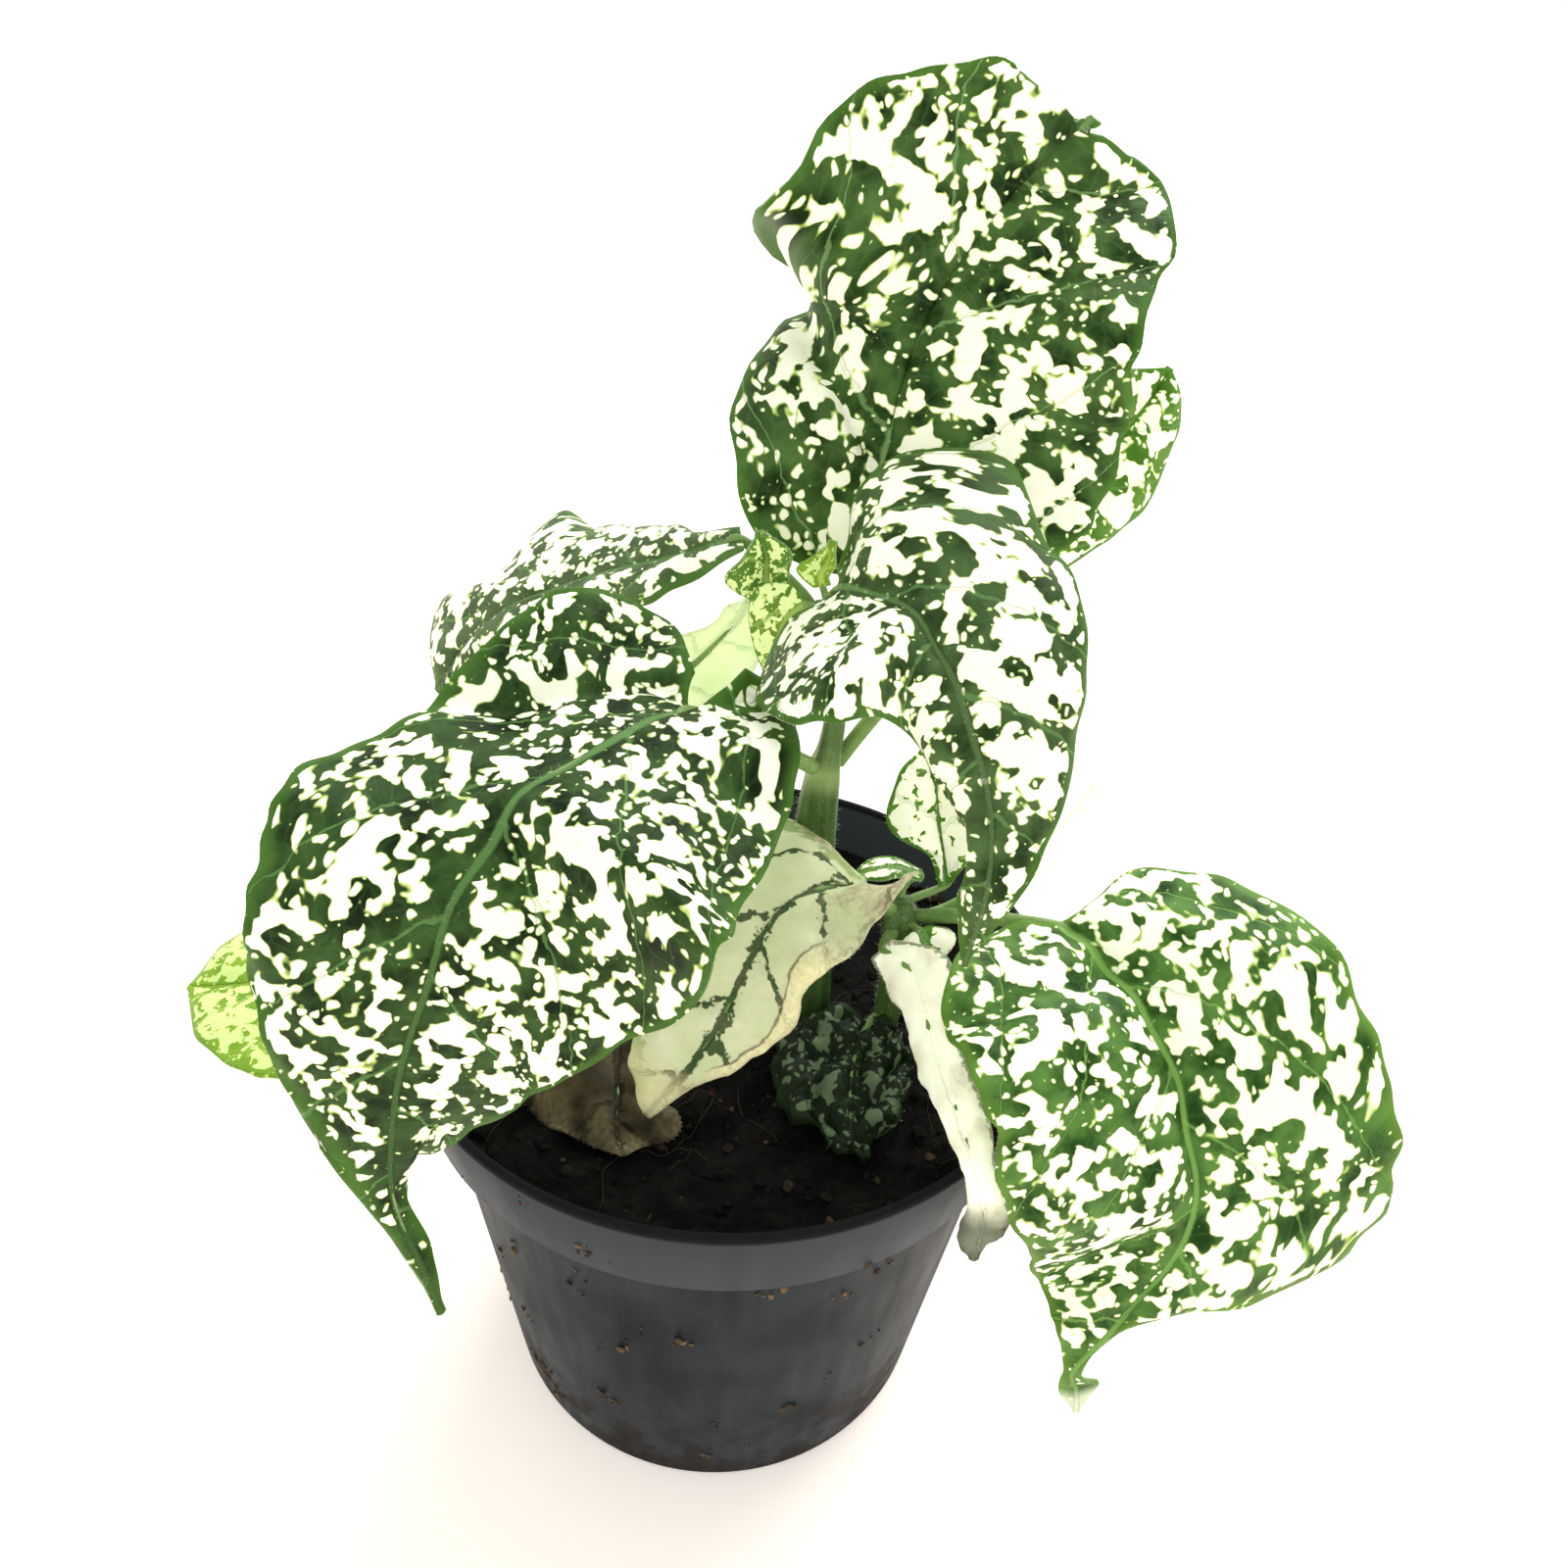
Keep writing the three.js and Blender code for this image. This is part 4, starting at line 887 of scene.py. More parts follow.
# %% Leaf rows
LEAVES = {
    "leaf_top": {
        "stem": "stem_main",
        "petiole": [[10.3, 1.2, 125.5], [12, 4.5, 127.5]],
        "faces": [[-0.1, -0.8, 0.5], [-0.1, -0.9, 0.4], [-0.1, -0.8, 0.6]],
        "rows": [
            [[14, 8, 132], [3, 22, -3, 0], [4, 10, -3, 0]],
            [[14, 9, 135], [8, 24, -5, 1], [12, 9, -5, 1]],
            [[14, 10, 139], [14, 27, -7, 1], [22, 6, -3, 1]],
            [[15, 12, 143], [18, 28, -5, 2], [24.5, 0, -2, 2]],
            [[16, 14, 149], [18, -6, -2, 2], [25, -3, 3, 2]],
            [[18, 16, 155], [20, -32, 0, 2], [23, 6, 4, 2]],
            [[20, 18, 160], [22.5, 29, -4, 2], [21, 8, 7, 2]],
            [[24, 20, 166], [21, 31, -1, 2], [17, -12, 11, 2]],
            [[27, 21, 170], [17, 33, 0, 1], [11, -31, 11, 1]],
            [[31, 22, 174], [12, 40, 0, 1], [5, -35, 4, 1]],
            [[33, 22, 176], [6, 40, 0, 0], [1, -35, 0, 0]],
            [[34, 21, 178], [0, 30, 0, 0], [0, -30, 0, 0]],
        ],
    },
    "leaf_right_middle": {
        "stem": "stem_main",
        "petiole": [[9.4, -1.4, 126], [9.6, -3.2, 130]],
        "faces": [[0, -0.5, 0.85], [0.3, -0.75, 0.6], [0.5, -0.8, 0.25]],
        "rows": [
            [[10, -5, 133], [2, 23, -2, 0], [2, -21, -1, 0]],
            [[11, -7, 134], [5, 26, -5, 0], [6, -22, -6, 0]],
            [[13, -10, 135], [10, 22, -8, 1], [16, -7, -3, 1]],
            [[16, -12, 135], [16, 16, -10, 2], [18, 4, 3, 1]],
            [[18, -15, 135], [19, 13, -11, 2], [14, -8, 6, 2]],
            [[20, -18, 133], [16, 11, -8, 2], [8, -30, 3, 2]],
            [[22, -21, 131], [16, 7, -7, 2], [7, -62, 4, 2]],
            [[24, -24, 127], [14, 10, -4, 2], [7, -85, 6, 2]],
            [[26, -26, 122], [10, 12, -3, 2], [4, -85, 6, 1]],
            [[27, -28, 117], [7, 15, -2, 1], [3, -80, 4, 1]],
            [[27, -30, 111], [4, 19, -2, 0], [3, -70, 2, 0]],
            [[26, -30, 102], [0, 19, 0, 0], [0, -70, 0, 0]],
        ],
    },
    "leaf_left_front": {
        "stem": "stem_main",
        "petiole": [[10, -1, 106.5], [4, -8, 114]],
        "faces": [[0, -0.4, 0.9], [-0.3, -0.65, 0.7], [-0.3, -0.9, 0.2]],
        "rows": [
            [[-4, -16, 123], [6, 80, -3, 0], [4, 10, -3, 0]],
            [[-6, -19, 124], [6, 35, -11, 0], [11, 4, -11, -1]],
            [[-8, -22, 125], [14, 15, -6, 0], [16, 2, -12, -3]],
            [[-11, -26, 125], [16, -8, -9, 1], [21, -6, -10, -3]],
            [[-15, -30, 124], [22, -3, -3, 2], [22, -13, -6, -3]],
            [[-19, -34, 123], [25, -4, 2, 2], [18, -11, -3, -1]],
            [[-21, -38, 120], [23, -43, 7, 2], [19, -1, -3, 1]],
            [[-24, -42, 116], [18, -50, 13, 2], [19, 16, -4, 2]],
            [[-26, -45, 109], [12, -57, 15, 2], [18, 24, -7, 2]],
            [[-29, -47, 100], [8, -71, 14, 1], [16, 26, -8, 2]],
            [[-31, -48, 90], [3, -85, 6, 1], [11, 27, -8, 1]],
            [[-32, -48, 80], [2, -90, 1, 0], [5, 31, -9, 1]],
            [[-30, -49, 72], [2, -90, 1, 0], [2, 26, -7, 0]],
            [[-28, -50, 64], [0, -90, 0, 0], [0, 26, 0, 0]],
        ],
    },
    "leaf_left_back": {
        "stem": "stem_main",
        "petiole": [[8.9, 1, 125.2], [6, 4.2, 128]],
        "petiole_radius": 0.8,
        "faces": [[-0.2, -0.1, 0.95], [-0.3, -0.15, 0.95], [-0.6, -0.3, 0.7]],
        "rows": [
            [[-1, 4.5, 134], [2, -14, 0, 0], [2, 15, 0, 0]],
            [[-6, 4, 132], [5, -1, 0, 1], [4, 2, 0, 1]],
            [[-11, 5, 130], [7, -8, -2, 1], [9, 0, 1, 1]],
            [[-18, 7, 127], [8, -10, -2, 1], [13, -2, 5, 1]],
            [[-24, 8, 124], [10, -14, -1, 1], [16, 6, 1, 1]],
            [[-30, 8, 121], [8, -21, 3, 1], [12, -6, 3, 1]],
            [[-35, 8, 116], [5, -20, 5, 1], [12, 5, 3, 1]],
            [[-39, 6, 110], [0, -20, 0, 0], [0, 5, 0, 0]],
        ],
    },
    "leaf_right_front": {
        "stem": "stem_side",
        "petiole": [[23.2, -4, 86.6], [31, -6, 89]],
        "faces": [[0.2, -0.45, 0.87], [0.3, -0.75, 0.6], [0.4, -0.85, 0.3]],
        "rows": [
            [[41, -10, 92], [4, 16, 0, 0], [3, -13, -3, 0]],
            [[42, -12, 92], [13, 7, -2, 1], [8, -9, -7, 1]],
            [[44, -14, 92], [17, 8, 1, 1], [16, 4, -8, 1]],
            [[46, -16, 90], [21, 13, 3, 2], [22, 7, -7, 2]],
            [[49, -19, 89], [23, 16, 6, 2], [24, 8, -4, 2]],
            [[51, -23, 87], [23, 21, 8, 2], [25, 8, -3, 2]],
            [[54, -26, 83], [23, 22, 8, 2], [25, 5, -1, 2]],
            [[55, -30, 79], [24, 17, 8, 2], [25, 1, 0, 2]],
            [[57, -33, 73], [23, 12, 8, 2], [21, -8, 4, 2]],
            [[57, -35, 67], [19, 9, 3, 2], [16, -19, 10, 1]],
            [[55, -37, 62], [12, 3, -1, 1], [8, -24, 12, 1]],
            [[52, -39, 59], [6, 3, -1, 1], [5, -27, 9, 1]],
            [[49, -41, 54], [1, 12, -2, 0], [3, -32, 5, 0]],
            [[46, -42, 48], [1, 27, 0, 0], [1, -40, 1, 0]],
            [[47, -42, 44], [3, 11, 0, 0], [2, -40, 1, 0]],
            [[48, -42, 39], [0, 11, 0, 0], [0, -40, 0, 0]],
        ],
    },
    "leaf_right_back": {
        "stem": "stem_main",
        "petiole": [[11.6, 0.6, 106], [15.5, 2, 112], [24, 10, 120]],
        "faces": [[-0.3, -0.8, 0.5], [-0.3, -0.8, 0.5], [-0.3, -0.8, 0.5]],
        "rows": [
            [[34, 18, 127], [4, 30, -1, 0], [3, -30, -1, 0]],
            [[38, 21, 132], [9, 39, 0, 1], [6, -34, 0, 1]],
            [[42, 24, 137], [11, 39, 1, 1], [8, -33, 0, 1]],
            [[45, 26, 142], [9, 38, 2, 1], [7, -33, 2, 1]],
            [[48, 28, 146], [5, 37, 1, 1], [4, -34, 2, 1]],
            [[50, 29, 150], [0, 37, 0, 0], [0, -34, 0, 0]],
        ],
    },
    "leaf_left_low": {
        "stem": "stem_main",
        "petiole": [[9.5, -0.5, 80], [0, -4, 84], [-14, -7, 83]],
        "faces": [[0, -0.1, 1], [-0.1, -0.3, 0.95], [-0.3, -0.3, 0.9]],
        "rows": [
            [[-25, -8, 81], [4, 10, -2, 0], [4, -9, -2, 0]],
            [[-36, -9, 79], [12, 0, -1, 1], [12, -5, -1, 1]],
            [[-48, -10, 76], [16, 10, -1, 1], [17, -10, 2, 1]],
            [[-60, -10, 73], [16, 15, -3, 1], [16, -15, 4, 1]],
            [[-67, -10, 71.5], [10, 20, -1, 1], [8, -15, 3, 1]],
            [[-72, -10, 71], [0, 20, 0, 0], [0, -15, 0, 0]],
        ],
    },
    "leaf_cream_front": {
        "stem": "stem_side",
        "petiole": [[21.2, -4.4, 87.6]],
        "faces": [[0.1, -0.5, 0.85], [0.1, -0.75, 0.65], [0, -0.9, 0.4]],
        "rows": [
            [[17, -9, 94], [7, 100, -3, 0], [2, 0, 0, 0]],
            [[12, -12, 97], [9, 40, 0, 1], [7, -22, -3, 1]],
            [[8, -15, 97], [10, 25, 0, 1], [12, -32, -7, 1]],
            [[5, -18, 95], [9, 31, 4, 1], [12, -39, -4, 1]],
            [[3, -21, 92], [9, 20, 5, 1], [10, -35, 0, 1]],
            [[1, -24, 88], [7, -10, 5, 1], [10, -27, 3, 1]],
            [[-2, -27, 83], [3, -15, 4, 1], [7, -31, 7, 1]],
            [[-8, -29, 74], [0, -15, 0, 0], [0, -31, 0, 0]],
        ],
    },
    "leaf_cream_side": {
        "stem": "stem_side",
        "petiole": [[21.6, -4.6, 85.6]],
        "faces": [[-0.1, -0.6, 0.8], [0.1, -0.6, 0.8], [0.5, -0.8, 0.3]],
        "rows": [
            [[19.8, -7.8, 84.2], [1.5, 33, 1, 0], [2, 0, 0, 0]],
            [[23, -12, 85], [5, 36, 3, 0.5], [4, -42, -1, 0.5]],
            [[25, -18, 83], [4, 46, 2, 0.5], [4, -55, 0, 0.5]],
            [[27, -25, 81], [3, 45, 1, 0.5], [4, -65, -1, 0.5]],
            [[29, -32, 79], [3, 10, 0, 0.5], [3, -74, 0, 0.5]],
            [[31, -37, 76], [2, 0, 0, 0.5], [3, -79, 1, 0.5]],
            [[32, -38, 70], [3, 16, 1, 0.5], [3, -71, 5, 0.5]],
            [[32, -38, 63], [0, 16, 0, 0], [0, -71, 0, 0]],
        ],
    },
    "leaf_small_back": {
        "stem": "stem_side",
        "petiole": [[22.6, -2.7, 88.1]],
        "petiole_radius": 0.6,
        "faces": [[-0.2, -0.8, 0.5], [-0.2, -0.85, 0.4], [-0.2, -0.85, 0.4]],
        "rows": [
            [[28, 0, 89], [1, 30, 0, 0], [1, 20, 1, 0]],
            [[27, 1, 94], [2, 31, 0, 1], [5, 21, 1, 1]],
            [[26, 2, 98], [7, 34, 1, 1], [7, 20, 1, 1]],
            [[25, 3, 103], [5, 34, 3, 1], [6, 19, 2, 1]],
            [[23, 4, 108], [0, 34, 0, 0], [0, 19, 0, 0]],
        ],
    },
    "leaf_small_flat": {
        "stem": "stem_side",
        "petiole": [[21.6, -3.2, 88.6], [22.6, -1.6, 90.4]],
        "petiole_radius": 0.5,
        "faces": [[0, -0.2, 1], [0, -0.2, 1], [0, -0.2, 1]],
        "rows": [
            [[24.5, -1.2, 91.3], [1, 7, 0, 0], [1, -6, 0, 0]],
            [[21, -1.2, 92.3], [2, 11, 0, 0], [2, -10, 0, 0]],
            [[18, -2, 92.3], [2, 13, 0, 0], [2, -12, 0, 0]],
            [[15, -3, 91.5], [0, 13, 0, 0], [0, -12, 0, 0]],
        ],
    },
    "leaf_small_cup": {
        "stem": "stem_side",
        "petiole": [[22.6, -4.6, 86.2]],
        "petiole_radius": 0.5,
        "faces": [[0, -0.5, 0.9], [0, -0.7, 0.7], [0, -0.4, 0.9]],
        "rows": [
            [[24.3, -7.4, 87.4], [2, -25, 0, 0], [2, -20, 0, 0]],
            [[25, -8.4, 86.7], [4.2, -30, 0, 1], [3.4, -30, 0, 1]],
            [[25.5, -9.2, 85], [4.2, -20, 1, 1], [2.8, -35, 0, 1]],
            [[27, -9.6, 82.6], [0, -22, 0, 0], [0, -43, 0, 0]],
        ],
    },
    "leaf_pale_under": {
        "stem": "stem_main",
        "petiole": [[10, 1, 106.5], [0, 5, 104]],
        "petiole_radius": 0.8,
        "faces": [[0.1, 0.8, 0.4], [0.1, 0.8, 0.4], [0.1, 0.8, 0.4]],
        "rows": [
            [[-13, 7, 108], [4, -40, 0, 0], [4, -20, 0, 0]],
            [[-9, 6, 114], [6, -55, 2, 1], [5, 1, 2, 1]],
            [[-6, 6, 117], [6, -57, 3, 1], [4, 4, 1, 1]],
            [[-3, 5, 121], [6, -52, 2, 1], [2, -1, 1, 1]],
            [[-1, 4, 124], [4, -43, 1, 1], [2, -8, 1, 1]],
            [[0, 3, 127], [0, -43, 0, 0], [0, -8, 0, 0]],
        ],
    },
    "leaf_tip_back": {
        "stem": "stem_main",
        "petiole": [[8.6, 0.3, 127.4], [5.5, 1.4, 128]],
        "petiole_radius": 0.5,
        "faces": [[0, -0.8, 0.5], [0, -0.8, 0.5], [0, -0.8, 0.5]],
        "rows": [
            [[3, 2.3, 128.4], [2, 23, 0, 0], [2, 28, 0, 0]],
            [[2, 1.9, 130.4], [5, 26, 2, 0], [3, 27, 1, 0]],
            [[2, 1.5, 133.2], [3, 25, 1, 0], [3, 26, 1, 0]],
            [[1, 1.7, 136.2], [0, 25, 0, 0], [0, 26, 0, 0]],
        ],
    },
    "leaf_tip_hanging": {
        "stem": "stem_main",
        "petiole": [[8.8, -0.6, 128]],
        "petiole_radius": 0.5,
        "faces": [[0, -0.7, 0.7], [0, -0.8, 0.5], [0, -0.9, 0.3]],
        "rows": [
            [[7, -1.2, 129], [1, 0, 0, 0], [3, 5, 0, 0]],
            [[5, -1.8, 127.4], [2, 0, -1, 0], [5, 5, 0, 0]],
            [[4, -2.4, 125], [2, -15, 1, 0], [3, -10, 1, 0]],
            [[3, -4, 120], [0, -25, 0, 0], [0, -23, 0, 0]],
        ],
    },
    "leaf_tip_yellow": {
        "stem": "stem_main",
        "petiole": [[9.4, 0.3, 128.4]],
        "petiole_radius": 0.5,
        "faces": [[0, -0.8, 0.5], [0, -0.8, 0.5], [0, -0.8, 0.5]],
        "rows": [
            [[8.6, 0.8, 130.4], [1, 23, 0, 0], [1, 28, 0, 0]],
            [[8.3, 1.3, 131.6], [3, 25, 0, 0], [1, 26, 0, 0]],
            [[9, 2, 133], [2, 27, 0, 0], [1, 23, 0, 0]],
            [[9.4, 2.4, 135.4], [0, 27, 0, 0], [0, 23, 0, 0]],
        ],
    },
    "leaf_shade": {
        "stem": "stem_side",
        "petiole": [[21.8, -4.4, 69]],
        "petiole_radius": 0.7,
        "faces": [[0, -0.3, 0.9], [0, -0.5, 0.8], [0, -0.5, 0.8]],
        "rows": [
            [[20, -6, 70], [2, -15, -1, 0], [3, -15, 0, 0]],
            [[18, -10, 69.5], [5, -15, -4, 1], [10, -12, 1, 1]],
            [[17, -16, 69], [8, -10, -5, 1], [11, -12, -4, 1]],
            [[17, -23, 68], [7, -10, -1, 1], [8, -15, -4, 1]],
            [[19, -27, 66], [0, -10, 0, 0], [0, -15, 0, 0]],
        ],
    },
    "leaf_brown_soil": {
        "faces": [[0, -0.1, 1], [0, -0.1, 1], [0, -0.1, 1]],
        "rows": [
            [[-14, -6, 66.5], [3, 0, 0, 0], [4, 0, 0, 0]],
            [[-14, -14, 67], [8, -3, 0, 0.5], [11.5, -3, 0, 0.5]],
            [[-13, -20, 66.5], [5.5, -3, 0, 0.5], [11.5, -3, 0, 0.5]],
            [[-12.5, -25, 66], [8, -3, 1, 0.5], [5.5, -3, 0, 0.5]],
            [[-11, -28.5, 65.5], [0, 0, 0, 0], [0, 0, 0, 0]],
        ],
    },
    "leaf_pale_right": {
        "stem": "stem_side",
        "petiole": [[22.6, -3, 85.4], [28, 0.5, 84.6]],
        "petiole_radius": 0.6,
        "faces": [[-0.1, -0.8, 0.6], [-0.1, -0.8, 0.6], [-0.1, -0.8, 0.6]],
        "rows": [
            [[35, 3, 88], [3, 22, 0, 0], [2, 29, 1, 0]],
            [[40, 6, 91], [5, 22, 0, 0], [4, 30, 1, 0]],
            [[44, 9, 94], [5, 22, 1, 0], [3, 30, 1, 0]],
            [[48, 11, 100], [0, 22, 0, 0], [0, 30, 0, 0]],
        ],
    },
}
print("leaves:", len(LEAVES))

# %% [markdown]
# ## How each leaf looks
# The looks are named once: dark green with white, the finer mottle of the young tip leaves, lime, cream
# and dry. A leaf then takes one and says what is its own: how far apart its side veins are, how much
# white covers it, and a seed for its waves and splashes. The six big spotted leaves also name a
# scatter, a seed for their splashes alone. Its values were picked from 36 tried ones, as those whose
# white lay most like the photograph's on that leaf. Two leaves share a value, with splashes of
# different size and cover.

# %% Looks of the leaves
# through sets a painted glow: the leaf gives off its own colour, for light shining through the blade.
SPOTTED = {
    "slot": "leaf_green",
    "dark": colour(16, 38, 8),
    "light": colour(80, 112, 56),
    "vein": colour(104, 146, 82),
    "edge": colour(84, 128, 48),
    "halo": colour(198, 220, 122),
    "size": 1.0,
    "cover": 0.0,
    "rim": 0.55,
    "spacing": 16.0,
    "shift": 3.0,
}
YOUNG = SPOTTED | {
    "dark": colour(78, 108, 36),
    "light": colour(122, 150, 62),
    "vein": colour(150, 180, 88),
    "white": colour(218, 234, 160),
    "halo": colour(170, 196, 90),
    "size": 0.34,
    "cover": 0.0,
    "rim": 0.1,
    "spacing": 6.0,
    "shift": 1.0,
    "bare": 0.6,
    "hairy": 2,
    "through": 0.25,
}
LIME = YOUNG | {
    "slot": "leaf_lime",
    "dark": colour(104, 144, 40),
    "light": colour(144, 178, 62),
    "vein": colour(186, 208, 104),
    "edge": colour(112, 150, 50),
    "halo": colour(206, 226, 124),
    "white": colour(208, 228, 144),
    "through": 0.06,
}
BLEACHED = SPOTTED | {
    "slot": "leaf_pale",
    "dark": colour(60, 102, 30),
    "light": colour(104, 144, 60),
    "cover": 0.75,
    "size": 0.6,
    "rim": 0.4,
    "spacing": 5.0,
    "shift": 1.0,
    "bare": 0.8,
    "hairy": 2,
    "through": 0.15,
}
CREAM = {
    "slot": "leaf_pale",
    "dark": colour(212, 218, 172),
    "light": colour(240, 244, 212),
    "vein": colour(50, 76, 40),
    "spacing": 11.0,
    "shift": 2.0,
    "ragged": 0.4,
    "hairy": 2,
    "wave": 1.3,
    "through": 0.06,
}
UNDERSIDE = CREAM | {
    "dark": colour(222, 240, 182),
    "light": colour(240, 252, 212),
    "under": colour(234, 248, 200),
    "vein": colour(150, 176, 124),
    "feather": 0.3,
    "ragged": 0.1,
    "vein_mm": 0.2,
    "core_mm": 0.15,
    "green": 0.6,
    "through": 0.25,
}
DRY = CREAM | {
    "slot": "leaf_dry",
    "dark": colour(38, 34, 24),
    "light": colour(80, 72, 48),
    "under": colour(66, 58, 40),
    "vein": colour(28, 26, 18),
    "stains": 0.3,
    "crumple": (0.9, 5.0),
    "glow": 0.0,
    "green": 0.75,
    "wave": 2.0,
    "through": 0.0,
}
# A leaf deep in the shade of the others: the spotted look painted much darker, as painted shade.
SHADED = SPOTTED | {
    "dark": colour(24, 33, 20),
    "light": colour(38, 49, 32),
    "vein": colour(46, 60, 38),
    "edge": colour(50, 64, 42),
    "white": colour(100, 118, 88),
    "halo": colour(56, 72, 46),
    "size": 0.7,
    "cover": 0.0,
    "spacing": 7.0,
    "wave": 5.0,
    "crumple": (2.4, 3.2),
    "glow": 0.0,
    "through": 0.0,
}
TOP_FOLD = {"path": [(0.46, -1.0), (0.41, -0.7), (0.36, -0.42), (0.27, -0.12)], "depth": 2.2, "width": 1.5}
TOP_FOLD |= {"raise": 1.6, "side": 1}
LEFT_FOLD = {"path": [(0.0, 0.4), (0.1, 0.5), (0.22, 0.5), (0.3, 0.62), (0.38, 1.0)]}
LEFT_FOLD |= {"depth": 1.3, "width": 1.6}
LEFT_FOLD |= {"raise": 1.6, "side": -1}
CREAM_FRONT = {"seed": 83, "stains": 0.8, "hem": 70, "crumple": (0.7, 5.0)}
CREAM_FRONT |= {"corner": (5.0, 15.0), "margin": 0.8}
CREAM_FRONT |= {"tip": colour(222, 218, 166), "vein_mm": 0.5, "feather": 2.7}
CREAM_FRONT |= {"dark": colour(196, 206, 156), "light": colour(230, 236, 198)}
CREAM_SIDE = {"seed": 97, "spacing": 90.0, "shift": 0.0, "stains": 0.5, "crumple": (0.6, 4.0)}
CREAM_SIDE |= {"tip": colour(36, 48, 18), "tip_from": 0.76, "feather": 0.3, "through": 0.42}
CREAM_SIDE |= {"vein_mm": -0.3, "core_mm": -0.4, "green": 0.8, "rim_green": 1.0, "rim_mm": 0.25}
CREAM_SIDE |= {"light": LEAF_WHITE, "dark": colour(244, 248, 222), "under": colour(236, 240, 208)}
LEAF_LOOKS = {
    "leaf_top": (
        spotted_skin,
        SPOTTED
        | {"seed": 11, "spacing": 19.0, "shift": 4.0, "size": 1.1, "soft": 0.6, "creases": [TOP_FOLD]}
        | {"vein": colour(128, 164, 104), "fade": 2.5, "cover": 0.02, "scatter": 435.7},
    ),
    "leaf_right_middle": (
        spotted_skin,
        SPOTTED
        | {"seed": 23, "spacing": 13.0, "size": 0.85, "cover": 0.2, "scatter": 422.0}
        | {"fade": 0.4, "rib_mm": 0.65}
        | {"dark": colour(32, 52, 20), "light": colour(84, 110, 66)},
    ),
    "leaf_left_front": (
        spotted_skin,
        SPOTTED
        | {"seed": 37, "cover": 0.06, "scatter": 148.0}
        | {"dark": colour(14, 32, 8), "light": colour(66, 94, 48)}
        | {"creases": [LEFT_FOLD]},
    ),
    # Its greens are painted lighter and greyer: painted sheen, as it faces up into the light.
    "leaf_left_back": (
        spotted_skin,
        SPOTTED
        | {"seed": 41, "spacing": 11.0, "size": 0.85, "cover": 0.25, "scatter": 52.1}
        | {"dark": colour(60, 80, 46), "light": colour(94, 114, 76)},
    ),
    "leaf_right_front": (
        spotted_skin,
        SPOTTED
        | {"seed": 53, "spacing": 17.0, "size": 1.15, "cover": 0.12, "scatter": 148.0}
        | {"fade": 2.0, "rib_mm": 0.95}
        | {"edge": colour(112, 152, 58), "tip": colour(228, 238, 208), "vein": colour(128, 172, 86)}
        | {"dark": colour(28, 60, 16), "light": colour(96, 138, 66)},
    ),
    "leaf_right_back": (
        spotted_skin,
        BLEACHED
        | {"seed": 67, "spacing": 9.0, "size": 0.85, "cover": 0.18, "scatter": 189.1}
        | {"slot": "leaf_green"},
    ),
    "leaf_left_low": (
        spotted_skin,
        LIME | {"seed": 71, "spacing": 14.0, "rim": 0.6, "size": 0.6, "cover": 0.25},
    ),
    "leaf_cream_front": (cream_skin, CREAM | CREAM_FRONT),
    "leaf_cream_side": (cream_skin, CREAM | CREAM_SIDE),
    "leaf_small_back": (spotted_skin, BLEACHED | {"seed": 101, "spacing": 6.0}),
    "leaf_small_flat": (spotted_skin, BLEACHED | {"seed": 103, "size": 0.45}),
    "leaf_small_cup": (spotted_skin, BLEACHED | {"seed": 107, "size": 0.5}),
    "leaf_pale_under": (cream_skin, UNDERSIDE | {"seed": 109, "spacing": 9.0}),
    "leaf_tip_back": (
        spotted_skin,
        YOUNG
        | {"seed": 113, "cover": 0.1}
        | {"dark": colour(66, 100, 40), "light": colour(100, 134, 58)},
    ),
    "leaf_tip_hanging": (spotted_skin, YOUNG | {"seed": 127, "slot": "leaf_lime", "cover": 0.3}),
    "leaf_tip_yellow": (spotted_skin, LIME | {"seed": 131, "through": 0.25}),
    "leaf_shade": (spotted_skin, SHADED | {"seed": 137}),
    "leaf_brown_soil": (cream_skin, DRY | {"seed": 139}),
    # Near white with a strong painted glow, painted light that washes the blade out to white.
    "leaf_pale_right": (
        cream_skin,
        UNDERSIDE
        | {"seed": 149, "dark": LEAF_WHITE, "light": LEAF_WHITE, "green": 0.3, "through": 0.6},
    ),
}


def blade_length(leaf):
    """How long a leaf's midrib is, in millimetres."""
    points = np.array([row[0] for row in leaf["rows"]], float)
    return float(np.linalg.norm(np.diff(points, axis=0), axis=1).sum())


# %% Leaves
for name, leaf in LEAVES.items():
    kind, look = LEAF_LOOKS[name]
    skin = kind(name.replace("leaf", "skin"), look, blade_length(leaf))
    build_leaf(name, leaf, look, skin, stalk_skin)

# %% [markdown]
# ## The pot
# A nursery pot is blown or moulded from thin dark plastic: a tapered body, a small step, and a wider band
# at the rim. It is turned round an axis, so it starts as a circle for the underside, and each further
# circle of its section is extruded upwards and widened, over the rim and down the inside again. A bevel
# rounds the corners of the section, and holes for drainage are cut through the floor.

